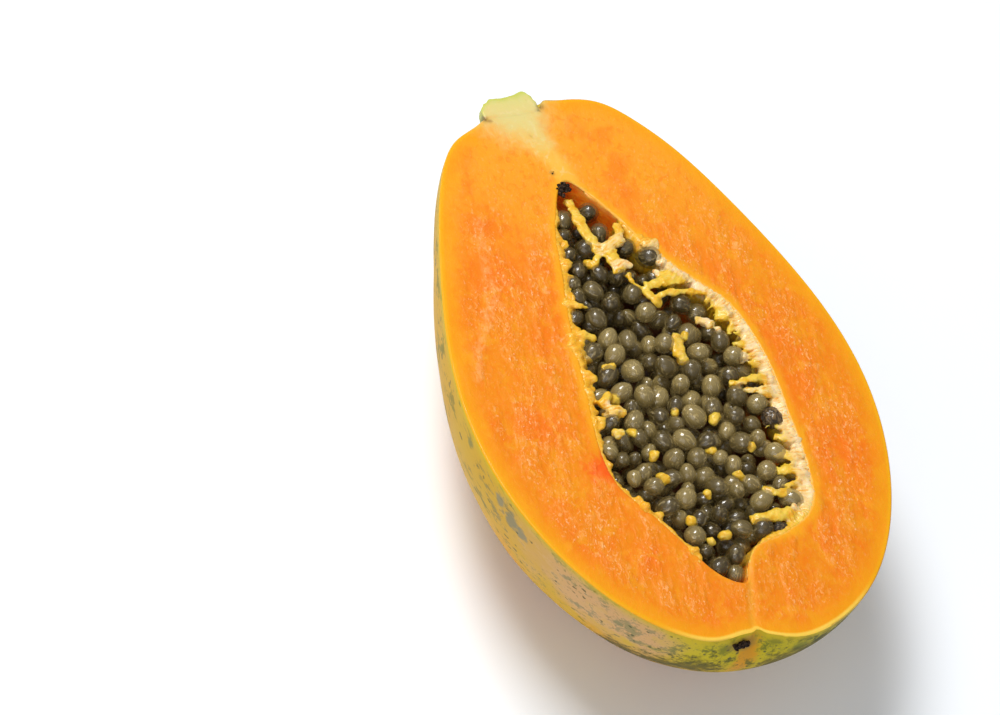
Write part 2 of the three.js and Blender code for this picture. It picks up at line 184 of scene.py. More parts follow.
# Grey-green and dark blotches of the skin: place, reach and colour
BLOTCHES = (
    ((-55.2, -31, -5.0), 2.6, (0.20, 0.21, 0.15)), ((-54.2, -36, -6.0), 3.2, (0.17, 0.19, 0.14)),
    ((-53, -40.5, -7.5), 2.4, (0.20, 0.21, 0.15)), ((-37.4, -70, -7.5), 2.6, (0.17, 0.19, 0.09)),
    ((-57, -13, -4), 2.0, (0.20, 0.20, 0.06)), ((24, -82, -8), 3.6, (0.11, 0.13, 0.025)),
    ((31, -78, -12), 4.5, (0.08, 0.09, 0.02)), ((-15, -86, -5), 3.0, (0.14, 0.16, 0.02)),
    ((-1.8, -87, -3), 2.6, (0.13, 0.15, 0.02)), ((6, -87.5, -6), 3.0, (0.14, 0.16, 0.02)),
)
# A dark line of painted shade low on the skin, along its lower edge, in two stretches, its reach, and the end
# of the skin it is on
PAINTED_SHADE_LINE = (
    ((-31.5, -68, -24.2), (-28, -72.5, -22.8), (-24.5, -76.6, -20.8), (-20.5, -79.6, -18.5), (-17, -82, -15.5)),
    ((3, -86, -15), (8.5, -86.5, -12), (14, -85.8, -9.5), (19, -84.6, -7.2), (26, -81, -5)),
)
PAINTED_SHADE_REACH = 9
PAINTED_SHADE_FROM = -55

# The pale vein in the cut face, from the cavity's tip to the crease
VEIN = ((2.0, -60.5), (-1.0, -67.5), (-3.4, -73.5), (-5.6, -79.0), (-7.4, -84.5))
# The pale tissue below the stub: x, y and reach
STALK = (
    (-4.8, 92.0, 16.0), (-4.8, 86.0, 11.5), (-3.6, 81.0, 8.4), (-1.8, 76.0, 5.6), (0.2, 69.0, 3.9),
    (2.0, 61.0, 3.6), (3.4, 55, 2.6),
)
# Where the stub goes over into the fruit, and how far that reaches
STUB_FOOT = ((-5.0, 92.0), (-5.0, 86.0))
STUB_FOOT_REACH = 9.0
# Where the flesh is ripest and redder: places and reach
RIPE_SPOTS = (
    ((-31, 33, 0), 20), ((-28, 50, 0), 12), ((-38, -14, 0), 12), ((41, -38, 0), 17), ((-26, -58, 0), 9),
    ((-24, -33, 0), 7),
)
# A bruised, reddest place by the cavity
HOT_SPOT = ((-26.8, -30.0, 0), 6.5)
# A pale raised line in the flesh, where the knife left it
RIDGE = (
    (-28.6, 52), (-31.5, 44), (-33.4, 34), (-34.2, 27), (-38.2, 22), (-41.5, 17.3), (-46, 10), (-49.5, 2.7),
)
# Brown marks: x, y and reach
BRUISES = (
    (-2.6, 77.3, 0.35), (-1.6, 63.7, 0.6), (4.3, 86.4, 1.0), (3.2, 85.4, 0.5), (-13.4, 84.6, 0.9),
    (-12.2, 83.9, 0.5),
)
# What a point's way to the rim or to the cavity is where its finish has nothing to do with them
FAR = 30

# The studio: the floor's side in metres, the room's light and strength, and the lamps: name, place seen
# from the fruit in metres, sides and power
FLOOR_SIDE = 6
ROOM_LIGHT = (0.965, 0.98, 1.0, 1)
ROOM_STRENGTH = 0.36
LAMPS = (
    ("key", (-0.30, 0.50, 1.05), (0.56, 0.38), 13.2),
    ("fill", (-0.95, -0.75, 0.75), (1.1, 1.1), 6),
)

# The camera, in the fruit's frame, and the lens
CAMERA_PLACE = (-440.6, -432.8, 697.1)
CAMERA_AIM = (-40.7, 8.2, 0.0)
CAMERA_UP = (0.149, 0.795, 0.588)
CAMERA_LENS = 127.7


def girth(along):
    """Half the width of the fruit, from 0 at the blossom end to pi at the stem end."""
    swell = 1 + sum(wave * np.cos((order + 1) * along) for order, wave in enumerate(FULLNESS))
    return WIDTH / 2 * np.sin(along) * swell


ALL_ALONG = np.linspace(0, math.pi, SKIN_ALONG + 1)
LOWEST = -DEPTH_SHARE * girth(ALL_ALONG).max() + REST_CUT
LEFT_REACH = (girth(ALL_ALONG) * (1 - LEAN - LEAN_TAPER * np.cos(ALL_ALONG))).max()


def fruit_shift():
    """Where the fruit's own origin lies in the part's frame, in metres."""
    low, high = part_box("fruit_half")
    return Vector((low.x + LEFT_REACH * MM, low.y + LENGTH / 2 * MM, high.z))


SHIFT = fruit_shift()


def placed(points):
    """Points in the fruit's frame in millimetres, moved into the part's frame in metres."""
    return np.asarray(points, float).reshape(-1, 3) * MM + np.array(SHIFT)


def skin_points(along, turn):
    """Points of the skin: turn is 0 at the right rim, a quarter turn at the keel and pi at the left rim."""
    lean = 1 + (LEAN + LEAN_TAPER * np.cos(along)) * np.cos(turn)
    x = girth(along) * lean * np.cos(turn)
    y = -LENGTH / 2 * np.cos(along)
    z = -DEPTH_SHARE * girth(along) * np.sin(turn)
    moved_x, moved_y = x.copy(), y.copy()
    for dent_x, dent_y, reach, push_x, push_y in DENTS:
        near = np.exp(-((x - dent_x) ** 2 + (y - dent_y) ** 2 + z**2) / reach**2)
        moved_x += push_x * near
        moved_y += push_y * near
    for place_x, place_y, reach, push in SHOULDERS:
        near = np.exp(-((x - place_x) ** 2 + (y - place_y) ** 2 + z**2) / reach**2)
        moved_y += push * near
    place, half_width, depth, down = CREASE
    crease = np.exp(-(((x - place) / half_width) ** 2) - (z / down) ** 2)
    moved_y += np.where(y < CREASE_FROM, depth * crease, 0)
    return np.stack([moved_x, moved_y, z], -1)


def curve_spot(before, start, end, after, t):
    """A spot of a smooth curve, at a share t of the way from start to end."""
    return 0.5 * (2 * start + (end - before) * t + (2 * before - 5 * start + 4 * end - after) * t**2
                  + (3 * start - before - 3 * end + after) * t**3)


def closed_curve(points, count):
    """A smooth closed curve through points, as evenly spaced places."""
    points = np.array(points, float)
    finer = []
    for index in range(len(points)):
        before, start, end, after = (points[(index + step) % len(points)] for step in (-1, 0, 1, 2))
        finer += [curve_spot(before, start, end, after, t) for t in np.linspace(0, 1, 24, endpoint=False)]
    finer = np.array(finer + [finer[0]])
    length = np.concatenate([[0], np.cumsum(np.hypot(*np.diff(finer, axis=0).T))])
    even = np.linspace(0, length[-1], count, endpoint=False)
    return np.stack([np.interp(even, length, finer[:, axis]) for axis in (0, 1)], -1)


def smooth_path(points, steps):
    """A smooth open path through points, with steps between each two."""
    points = [Vector(point) for point in points]
    ends = [points[0] * 2 - points[1]] + points + [points[-1] * 2 - points[-2]]
    path = []
    for before, start, end, after in zip(ends, ends[1:], ends[2:], ends[3:]):
        path += [curve_spot(before, start, end, after, step / steps) for step in range(steps)]
    return path + [points[-1]]


CAVITY = closed_curve(CAVITY_OUTLINE, 240)
CAVITY_NEXT = np.roll(CAVITY, -1, axis=0)


def depth_inside(x, y):
    """How far a spot lies inside the cavity's outline, and below 0 outside it."""
    run = CAVITY_NEXT - CAVITY
    away = np.array([x, y]) - CAVITY
    share = np.clip((away * run).sum(1) / (run * run).sum(1), 0, 1)
    nearest = np.hypot(*(away - share[:, None] * run).T).min()
    crossing = (CAVITY[:, 1] > y) != (CAVITY_NEXT[:, 1] > y)
    reach = CAVITY[crossing, 0] + run[crossing, 0] * (y - CAVITY[crossing, 1]) / run[crossing, 1]
    return nearest if (x < reach).sum() % 2 else -nearest


def wall_slope(z):
    """How far the cavity's wall has come in at a depth below the cut face."""
    sink = min(1, max(0, -z / CAVITY_DEPTH))
    return CAVITY_DEPTH * (1 - math.cos(math.asin(sink)) ** CAVITY_STEEPNESS)


def middle_line(y):
    """How far across the cavity's middle line lies at a place along the fruit."""
    return CAVITY_MIDDLE[0] + CAVITY_SLANT * (CAVITY_MIDDLE[1] - y)


def band_at(x, y):
    """How wide the pulp's band is on the wall nearer to a spot."""
    side = BAND_RIGHT if x > middle_line(y) else BAND_LEFT
    return float(np.interp(y, *zip(*side)))


def near_path(spots, path, reach):
    """How near each spot is to a path, from 1 on it to 0 away from it; reach is one, or one at each point."""
    x, y = spots[:, 0], spots[:, 1]
    reaches = np.broadcast_to(reach, len(path))
    near = np.zeros(len(spots))
    for (x0, y0), (x1, y1), start, end in zip(path, path[1:], reaches, reaches[1:]):
        run = np.array([x1 - x0, y1 - y0])
        share = np.clip(((x - x0) * run[0] + (y - y0) * run[1]) / (run @ run), 0, 1)
        away = np.hypot(x - x0 - share * run[0], y - y0 - share * run[1])
        near = np.maximum(near, np.exp(-((away / (start + (end - start) * share)) ** 2)))
    return near


def bruise_at(spots):
    """How strongly each spot is browned by one of the small brown marks, from 0 to 1."""
    marks = [np.exp(-(((spots[:, 0] - x) ** 2 + (spots[:, 1] - y) ** 2) / reach**2)) for x, y, reach in BRUISES]
    return np.max(marks, axis=0)


def painted_shade_at(spots):
    """How near each spot is to the line of painted shade low on the skin, from 0 to 1."""
    line = np.vstack([np.array(smooth_path(stretch, 8)) for stretch in PAINTED_SHADE_LINE])
    low = spots[:, 1] < PAINTED_SHADE_FROM
    apart = np.linalg.norm(spots[low][:, None] - line[None], axis=2).min(1)
    near = np.zeros(len(spots))
    near[low] = np.exp(-((apart / PAINTED_SHADE_REACH) ** 2))
    return near


def rough(points, size, octaves=3):
    """Smooth noise from -1 to 1 at each point, with bumps about as wide as size, in millimetres."""
    return np.array([noise.fractal(Vector(point) / size, 1.0, 2.0, octaves) for point in points])


def strip(near, far):
    """The faces between two closed rings of points, each given by its points' numbers."""
    corners = zip(near, near[1:] + near[:1], far[1:] + far[:1], far)
    return [list(face) for face in corners]


def join(points, faces, form, form_faces):
    """Adds one form to a mesh that grows."""
    start = len(points)
    points.extend(form)
    faces.extend([[start + corner for corner in face] for face in form_faces])


def make_piece(name, points, faces, node, slot, materials, face_materials=None):
    """A mesh in the part's frame that stands for a node of the solids."""
    mesh = bpy.data.meshes.new(name)
    mesh.from_pydata(placed(points).tolist(), [], faces)
    if face_materials is not None:
        mesh.polygons.foreach_set("material_index", face_materials)
    mesh.polygons.foreach_set("use_smooth", [True] * len(mesh.polygons))
    mesh.update()
    piece = bpy.data.objects.new(name, mesh)
    bpy.context.collection.objects.link(piece)
    for material in materials:
        mesh.materials.append(material)
    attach(piece, "root")
    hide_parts(node)
    return piece


def give_attribute(piece, name, values):
    """A number or a vector for each point of a piece, for its material to read."""
    values = np.asarray(values, np.float32)
    kind, field = ("FLOAT", "value") if values.ndim == 1 else ("FLOAT_VECTOR", "vector")
    layer = piece.data.attributes.new(name, kind, "POINT")
    layer.data.foreach_set(field, values.ravel())


def give_stalk(piece, spots, own=0.0):
    """The stalk's pale tissue and the brown marks, on the cut face of the flesh and of the stub alike."""
    near = near_path(spots, [place[:2] for place in STALK], [place[2] for place in STALK])
    give_attribute(piece, "stalk", np.maximum(near, own))
    give_attribute(piece, "bruise", bruise_at(spots))


class Wire:
    """A socket of a material, so that sums over a surface read as sums."""

    def __init__(self, finish, socket):
        self.finish = finish
        self.socket = socket

    def __add__(self, other):
        return self.finish.math("ADD", self, other)

    def __sub__(self, other):
        return self.finish.math("SUBTRACT", self, other)

    def __rsub__(self, other):
        return self.finish.math("SUBTRACT", other, self)

    def __mul__(self, other):
        return self.finish.math("MULTIPLY", self, other)

    __radd__ = __add__
    __rmul__ = __mul__


class Finish:
    """A material under construction: its nodes are made here, and sums of them are written in Python."""

    def __init__(self, name, **constants):
        self.material = bpy.data.materials.new(name)
        self.material.use_nodes = True
        self.tree = self.material.node_tree
        self.shader = self.tree.nodes["Principled BSDF"]
        for socket, value in constants.items():
            self.shader.inputs[socket.replace("_", " ")].default_value = value

    def node(self, kind, settings=None, sockets=None, output=0):
        """Any node: its kind, its settings, the values or wires of its sockets, and which output is read."""
        made = self.tree.nodes.new(kind)
        for name, value in (settings or {}).items():
            setattr(made, name, value)
        for name, value in (sockets or {}).items():
            self.feed(made.inputs[name], value)
        return Wire(self, made.outputs[output])

    def feed(self, socket, value):
        if isinstance(value, Wire):
            self.tree.links.new(value.socket, socket)
        elif socket.type == "RGBA" and len(value) == 3:
            socket.default_value = (*value, 1)
        else:
            socket.default_value = value

    def math(self, operation, first, second):
        return self.node("ShaderNodeMath", {"operation": operation}, {0: first, 1: second})

    def mix(self, share, first, second):
        """A colour between first, at a share of 0, and second, at 1."""
        settings = {"data_type": "RGBA", "clamp_factor": True}
        return self.node("ShaderNodeMix", settings, {0: share, 6: first, 7: second}, output=2)

    def between(self, value, low, high):
        """0 below low, 1 above high and smooth between; high may be the lower of the two."""
        sockets = {"Value": value, "From Min": low, "From Max": high}
        return self.node("ShaderNodeMapRange", {"interpolation_type": "SMOOTHSTEP"}, sockets)

    def place(self):
        """The place on the fruit in millimetres, in the fruit's own frame."""
        here = self.node("ShaderNodeTexCoord", output=3)
        moved = self.node("ShaderNodeVectorMath", {"operation": "SUBTRACT"}, {0: here, 1: tuple(SHIFT)})
        return self.node("ShaderNodeVectorMath", {"operation": "SCALE"}, {0: moved, "Scale": 1 / MM})

    def stretched(self, vector, x, y, z):
        return self.node("ShaderNodeVectorMath", {"operation": "MULTIPLY"}, {0: vector, 1: (x, y, z)})

    def turned(self, vector, degrees):
        sockets = {"Vector": vector, "Angle": math.radians(degrees)}
        return self.node("ShaderNodeVectorRotate", {"rotation_type": "Z_AXIS"}, sockets)

    def axes(self, vector):
        split = self.node("ShaderNodeSeparateXYZ", {}, {0: vector})
        outputs = split.socket.node.outputs
        return [Wire(self, outputs[axis]) for axis in range(3)]

    def noise(self, vector, size, detail=3.0, roughness=0.5, distortion=0.0):
        """Cloudy noise around 0.5, with clouds about as wide as size, in millimetres."""
        sockets = {
            "Vector": vector, "Scale": 1 / size, "Detail": detail, "Roughness": roughness,
            "Distortion": distortion,
        }
        return self.node("ShaderNodeTexNoise", {}, sockets)

    def cells(self, vector, size, output=0):
        """How far off the nearest cell's middle is, or with output 1 the cell's own random values."""
        return self.node("ShaderNodeTexVoronoi", {}, {"Vector": vector, "Scale": 1 / size}, output)

    def attribute(self, name, output=2):
        """What a piece gives at each point: a number, or with output 1 a vector."""
        return self.node("ShaderNodeAttribute", {"attribute_name": name}, {}, output)

    def distance(self, vector, spot):
        sockets = {0: vector, 1: spot}
        return self.node("ShaderNodeVectorMath", {"operation": "DISTANCE"}, sockets, output=1)

    def bump(self, height, strength, millimetres):
        sockets = {"Height": height, "Strength": strength, "Distance": millimetres * MM}
        return self.node("ShaderNodeBump", {}, sockets)

    def finish(self, **surface):
        """Feeds the shader's sockets with what changes over the surface."""
        for socket, value in surface.items():
            self.feed(self.shader.inputs[socket.replace("_", " ")], value)
        return self.material


# Colours of the cut flesh, among them painted wet glints
FLESH = {
    "orange": (0.77, 0.222, 0.0), "stem end": (0.83, 0.315, 0.012), "ripe": (0.80, 0.150, 0.0),
    "yellowed": (0.80, 0.31, 0.005), "red blot": (0.78, 0.15, 0.0), "pale blot": (0.84, 0.32, 0.05),
    "pale fleck and glint": (0.91, 0.42, 0.14), "painted glint": (0.96, 0.58, 0.30), "near skin": (0.80, 0.31, 0.0),
    "at skin": (0.79, 0.38, 0.0), "blossom end": (0.84, 0.62, 0.10), "near pulp": (0.84, 0.37, 0.006),
    "hot": (0.82, 0.075, 0.002), "lip": (0.88, 0.50, 0.12), "ridge": (0.92, 0.44, 0.16),
    "vein": (0.86, 0.44, 0.04), "stalk tip": (0.82, 0.42, 0.04), "stalk": (0.67, 0.55, 0.20),
    "stalk top": (0.57, 0.58, 0.18), "stalk blot": (0.74, 0.60, 0.30), "stub edge": (0.46, 0.52, 0.06),
    "bruise": (0.14, 0.07, 0.015),
}


def cut_flesh_material():
    """Ripe orange flesh, cut and wet: granular, with painted wet glints, redder in the middle, yellow towards
    skin and seeds.
    """
    f = Finish("cut_flesh", Subsurface_Weight=0.15, Subsurface_Scale=0.002, Subsurface_Radius=(1.0, 0.35, 0.1),
               Coat_Weight=0.16, Coat_Roughness=0.16, IOR=1.3)
    here = f.place()
    across, along, _ = f.axes(here)
    from_rim = f.attribute("from_rim")
    from_cavity = f.attribute("from_cavity")
    stalk = f.attribute("stalk")
    grainwise = f.turned(here, 14)
    clouds = f.noise(f.stretched(grainwise, 1, 0.6, 1), 24, detail=4)
    patches = f.noise(f.stretched(grainwise, 1, 0.8, 1), 6.5, detail=4, roughness=0.6, distortion=0.6)
    blots = f.noise(f.stretched(grainwise, 1, 0.75, 1), 2.4, detail=4, roughness=0.62, distortion=0.8)
    flecks = f.noise(f.stretched(grainwise, 1, 0.6, 1), 1.3, detail=4, roughness=0.66, distortion=1.0)
    # Noise for the painted glints and for some of the relief
    glint_noise = f.noise(f.stretched(grainwise, 1, 0.6, 1), 0.8, detail=2, roughness=0.6)
    clusters = f.noise(f.stretched(grainwise, 1, 0.35, 1), 8, detail=3, roughness=0.6)
    uneven, ragged = patches - 0.5, blots - 0.5
    meaty = f.between(from_rim + uneven * 5, 3.5, 9) * f.between(from_cavity + uneven * 3, 0.5, 4)
    grainy = meaty * f.between(clusters, 0.4, 0.62) * f.between(along, 72, 30)
    colour = f.mix(f.between(along + (clouds - 0.5) * 30, 5, 80), FLESH["orange"], FLESH["stem end"])
    redness = f.between(clouds * 0.7 + patches * 0.3, 0.46, 0.62) * 0.65
    for spot, reach in RIPE_SPOTS:
        ripe = f.between(f.distance(here, spot) + uneven * reach, reach, 0)
        redness = f.math("MAXIMUM", redness, ripe * 0.95)
    colour = f.mix(redness * 0.85, colour, FLESH["ripe"])
    colour = f.mix(f.between(patches, 0.5, 0.36) * 0.5, colour, FLESH["yellowed"])
    colour = f.mix(f.between(blots, 0.48, 0.36) * 0.35, colour, FLESH["red blot"])
    colour = f.mix(f.between(blots, 0.52, 0.66) * (0.1 + 0.35 * grainy), colour, FLESH["pale blot"])
    # Pale grains of the flesh, partly painted wet highlights
    colour = f.mix(f.between(flecks, 0.53, 0.67) * (0.15 + 0.6 * grainy), colour, FLESH["pale fleck and glint"])
    # Painted highlights: small pale glints where the wet flesh would catch the light
    colour = f.mix(f.between(glint_noise, 0.60, 0.72) * (0.1 + 0.6 * grainy), colour, FLESH["painted glint"])
    colour = f.mix(f.between(from_rim + uneven * 3, 6.5, 1.0) * 0.8, colour, FLESH["near skin"])
    colour = f.mix(f.between(from_rim, 1.4, 0.3) * 0.7, colour, FLESH["at skin"])
    blossom_pale = f.between(from_rim, 1.1, 0.4) * f.between(along, -76, -85)
    colour = f.mix(blossom_pale * 0.7, colour, FLESH["blossom end"])
    rightward = f.between(across, -2, 14)
    near_pulp = f.between(from_cavity + uneven * 3, 4.2, 0.8)
    near_pulp = near_pulp * f.math("MAXIMUM", f.between(along, -34, -14), rightward)
    colour = f.mix(near_pulp * 0.75, colour, FLESH["near pulp"])
    hot = f.between(f.distance(here, HOT_SPOT[0]) + ragged * 8, HOT_SPOT[1], 1)
    colour = f.mix(hot * 0.8, colour, FLESH["hot"])
    lip = f.between(from_cavity + ragged * 2, 0.9, 0.1) * rightward
    colour = f.mix(lip * 0.6, colour, FLESH["lip"])
    ridge = f.attribute("ridge") * f.between(flecks, 0.38, 0.55)
    colour = f.mix(ridge * 0.4, colour, FLESH["ridge"])
    colour = f.mix(f.attribute("vein") * 0.4, colour, FLESH["vein"])
    soft_stalk = f.between(stalk + uneven * 0.7 + ragged * 0.25, 0.1, 0.95)
    stalk_colour = f.mix(f.between(along + uneven * 12, 63, 84), FLESH["stalk tip"], FLESH["stalk"])
    stalk_colour = f.mix(f.between(along + uneven * 5, 86, 92) * 0.6, stalk_colour, FLESH["stalk top"])
    stalk_colour = f.mix(f.between(blots, 0.5, 0.68) * 0.4, stalk_colour, FLESH["stalk blot"])
    colour = f.mix(soft_stalk, colour, stalk_colour)
    edge = f.between(f.attribute("stub_edge") + uneven * 0.8, 0.1, 0.8)
    colour = f.mix(edge * 0.75, colour, FLESH["stub edge"])
    colour = f.mix(f.attribute("bruise") * 0.9, colour, FLESH["bruise"])
    relief = blots * 0.8 + flecks * 0.6 + glint_noise * 0.2
    height = relief * (0.3 + 0.7 * grainy) * (1 - 0.9 * soft_stalk)
    return f.finish(Base_Color=colour, Roughness=0.42 - f.between(flecks, 0.5, 0.7) * 0.2,
                    Normal=f.bump(height, 0.85, 0.5))


# Colours of the cavity's wall
WALL = {
    "red": (0.94, 0.19, 0.005), "orange": (0.95, 0.30, 0.012), "fibre": (0.86, 0.34, 0.05),
    # The bottom colour is painted shade for the cavity's depths
    "top": (0.90, 0.42, 0.06), "bottom": (0.05, 0.02, 0.012),
}


def cavity_wall_material():
    """The deep orange wall of the cavity, with painted shade darkening it towards its bottom."""
    f = Finish("cavity_wall", Subsurface_Weight=0.6, Subsurface_Scale=0.006, Subsurface_Radius=(1.0, 0.3, 0.1),
               Coat_Weight=0.3, Coat_Roughness=0.2, IOR=1.3)
    here = f.place()
    _, _, up = f.axes(here)
    clouds = f.noise(here, 5, detail=4)
    fibres = f.noise(f.stretched(here, 1, 0.35, 1), 1.2, detail=4, roughness=0.65)
    colour = f.mix(f.between(clouds, 0.4, 0.65), WALL["red"], WALL["orange"])
    colour = f.mix(f.between(fibres, 0.55, 0.72) * 0.4, colour, WALL["fibre"])
    colour = f.mix(f.between(up + clouds * 2, -1.6, 0.2), colour, WALL["top"])
    # Painted shade: the wall darkens to near black towards the cavity's bottom
    colour = f.mix(f.between(up, -9, -17) * 0.85, colour, WALL["bottom"])
    return f.finish(Base_Color=colour, Roughness=0.35 + clouds * 0.1, Normal=f.bump(fibres + clouds, 0.6, 0.6))


# Colours of the skin
SKIN = {
    "gold": (0.66, 0.36, 0.02), "deep gold": (0.74, 0.29, 0.014), "near rim": (0.56, 0.35, 0.03),
    "tan bloom": (0.61, 0.35, 0.16), "gold bloom": (0.60, 0.34, 0.025), "pink bloom": (0.66, 0.41, 0.20),
    "blossom end": (0.54, 0.45, 0.012), "orange spot": (0.66, 0.27, 0.02), "olive": (0.32, 0.28, 0.025),
    "green": (0.10, 0.125, 0.018), "grey-green": (0.20, 0.19, 0.10), "dash": (0.15, 0.145, 0.05),
    "speck": (0.07, 0.08, 0.03), "fine speck": (0.12, 0.12, 0.04), "scar": (0.34, 0.22, 0.05),
    "painted_shade": (0.055, 0.052, 0.016), "rim": (0.60, 0.42, 0.015),
}


def skin_material():
    """Waxy ripening skin: golden and olive, with tan bloom, green streaks, clusters of dark specks and painted
    shade low along its edge.
    """
    f = Finish("papaya_skin", Coat_Weight=0.03, Coat_Roughness=0.25, IOR=1.15)
    here = f.place()
    across, along, up = f.axes(here)
    streaky = f.stretched(here, 1.25, 0.5, 1.25)
    wander = f.node("ShaderNodeTexNoise", {}, {"Vector": here, "Scale": 0.5, "Detail": 2.0}, output=1)
    sockets = {0: wander, 1: (1.6, 1.6, 1.6), 2: streaky}
    ragged = f.node("ShaderNodeVectorMath", {"operation": "MULTIPLY_ADD"}, sockets)
    broad = f.noise(here, 38, detail=3, roughness=0.5)
    middling = f.noise(streaky, 10, detail=4, roughness=0.6)
    small = f.noise(streaky, 3.4, detail=4, roughness=0.68)
    fine = f.noise(here, 1.1, detail=2)
    uneven = small - 0.5
    rimward = f.between(up, -38, -4)
    blossomward = f.between(along, -48, -84)
    stemward = f.between(along, 20, 85)
    colour = f.mix(f.between(broad, 0.42, 0.6), SKIN["gold"], SKIN["deep gold"])
    colour = f.mix(rimward * 0.8, colour, SKIN["near rim"])
    bloom = f.between(middling * 0.4 + broad * 0.5 + rimward * 0.3, 0.58, 0.76)
    bloom = bloom * f.between(across + (middling - 0.5) * 18, -17, -30)
    golden = f.between(along + (broad - 0.5) * 40, -58, -28)
    bloom_colour = f.mix(golden, SKIN["tan bloom"], SKIN["gold bloom"])
    colour = f.mix(bloom * 0.92, colour, bloom_colour)
    pinkish = bloom * f.between(small, 0.50, 0.66) * f.between(along, -10, -45)
    colour = f.mix(pinkish * 0.5, colour, SKIN["pink bloom"])
    colour = f.mix(blossomward * f.between(up, -30, -6) * (1 - bloom) * 0.85, colour, SKIN["blossom end"])
    orange_spot = f.distance(f.stretched(here, 1.5, 1, 0.4), (-10.8, -86.0, -3.4)) + uneven * 6
    colour = f.mix(f.between(orange_spot, 6, 2) * 0.85, colour, SKIN["orange spot"])
    drive = broad * 0.5 + middling * 0.6 + small * 0.4 + 0.05 * rimward + 0.09 * blossomward + 0.1 * stemward
    drive = drive - bloom * 0.05 - bloom * blossomward * 0.06
    colour = f.mix(f.between(drive, 0.80, 0.98) * 0.7, colour, SKIN["olive"])
    green = f.mix(bloom * f.between(along, -10, -40), SKIN["green"], SKIN["grey-green"])
    colour = f.mix(f.between(drive, 0.90, 1.0) * 0.8, colour, green)
    streaks = f.between(small * 0.6 + middling * 0.4, 0.53, 0.58) * f.between(drive + bloom * 0.06, 0.74, 0.86)
    colour = f.mix(streaks * 0.6, colour, green)
    for spot, reach, shade in BLOTCHES:
        blotch = f.between(f.distance(here, spot) + uneven * 3 * reach, reach, reach * 0.3)
        colour = f.mix(blotch * 0.75, colour, shade)
    dashes = f.noise(f.stretched(here, 1.5, 0.28, 1.5), 1.3, detail=3, roughness=0.6, distortion=0.5)
    dashes = f.between(dashes, 0.57, 0.65) * f.between(middling, 0.34, 0.56)
    colour = f.mix(dashes * 0.6, colour, SKIN["dash"])
    pick, second_pick, _ = f.axes(f.cells(ragged, 2.3, output=1))
    speck_size = 0.08 + 0.16 * pick
    specks = f.between(f.cells(ragged, 2.3) + uneven * 0.15, speck_size + 0.08, speck_size)
    specks = specks * f.between(second_pick + (middling - 0.5) * 1.4, 0.45, 0.53)
    colour = f.mix(specks * 0.8, colour, SKIN["speck"])
    fine_specks = f.between(f.cells(ragged, 1.1) + uneven * 0.2, 0.22, 0.12)
    colour = f.mix(fine_specks * f.between(middling, 0.45, 0.6) * 0.5, colour, SKIN["fine speck"])
    scar = f.distance(f.stretched(here, 0.8, 1, 1.2), (-7.9, -85.0, -4.8)) + (fine - 0.5) * 1.6
    colour = f.mix(f.between(scar, 4.2, 2.4) * 0.6, colour, SKIN["scar"])
    # Painted shade: the skin darkened along a line low on its lower edge
    painted_shade = f.between(f.attribute("painted_shade") + uneven * 2.2, 0.35, 0.95)
    colour = f.mix(painted_shade * 0.8, colour, SKIN["painted_shade"])
    colour = f.mix(f.attribute("rim") * 0.75, colour, SKIN["rim"])
    height = small * 0.5 + middling * 0.8 - specks * 0.25
    return f.finish(Base_Color=colour, Roughness=0.42 + 0.16 * small,
                    Normal=f.bump(height, 0.3, 0.35))


# Colours of the pulp
PULP = {
    "deep yellow": (0.76, 0.42, 0.010), "yellow": (0.79, 0.53, 0.055), "left wall": (0.88, 0.36, 0.01),
    "pale grain": (0.86, 0.62, 0.2), "cream": (0.85, 0.58, 0.22), "pale cream": (0.90, 0.70, 0.42),
    # The last colour is painted shade deep in the cavity
    "slit": (0.76, 0.30, 0.02), "painted shade deep down": (0.30, 0.10, 0.006),
}


def pulp_material():
    """Wet spongy pulp: cream and fibrous at the wall, clear yellow towards the seeds, with painted shade deep
    in the cavity.
    """
    f = Finish("pulp", Subsurface_Weight=0.35, Subsurface_Scale=0.002, Subsurface_Radius=(1.0, 0.6, 0.2),
               Coat_Weight=0.4, Coat_Roughness=0.2, IOR=1.36)
    here = f.place()
    _, _, up = f.axes(here)
    clouds = f.noise(here, 3.2, detail=3)
    grain = f.noise(here, 0.8, detail=3, roughness=0.6)
    fibres = f.noise(f.stretched(f.attribute("fibre", output=1), 1.8, 0.3, 0.8), 1.0, detail=4, roughness=0.62)
    cream = f.attribute("cream")
    colour = f.mix(f.between(clouds, 0.35, 0.65), PULP["deep yellow"], PULP["yellow"])
    colour = f.mix(f.attribute("leftness") * 0.55, colour, PULP["left wall"])
    colour = f.mix(f.between(grain, 0.55, 0.7) * 0.4, colour, PULP["pale grain"])
    creamy = f.between(cream + (fibres - 0.5) * 1.6 + (clouds - 0.5), 0.35, 0.8)
    colour = f.mix(creamy, colour, PULP["cream"])
    colour = f.mix(f.between(cream + (clouds - 0.5) * 1.4, 0.8, 1.15) * 0.7, colour, PULP["pale cream"])
    slits = f.between(fibres * 0.7 + clouds * 0.3, 0.48, 0.38)
    colour = f.mix(slits * f.between(cream, 0.1, 0.4) * 0.8, colour, PULP["slit"])
    # Painted shade: the pulp darkens deep below the cut face
    colour = f.mix(f.between(up, -4.5, -9) * 0.8, colour, PULP["painted shade deep down"])
    height = grain * 0.7 + clouds * 0.6 + fibres * 1.2
    return f.finish(Base_Color=colour, Roughness=0.38 + 0.1 * clouds, Normal=f.bump(height, 0.7, 0.3))


# Colours of the seeds' jelly coats
JELLY = {
    "dark": (0.12, 0.08, 0.02), "pale": (0.48, 0.35, 0.12), "cloud": (0.34, 0.25, 0.08),
    "vein": (0.58, 0.45, 0.21),
}


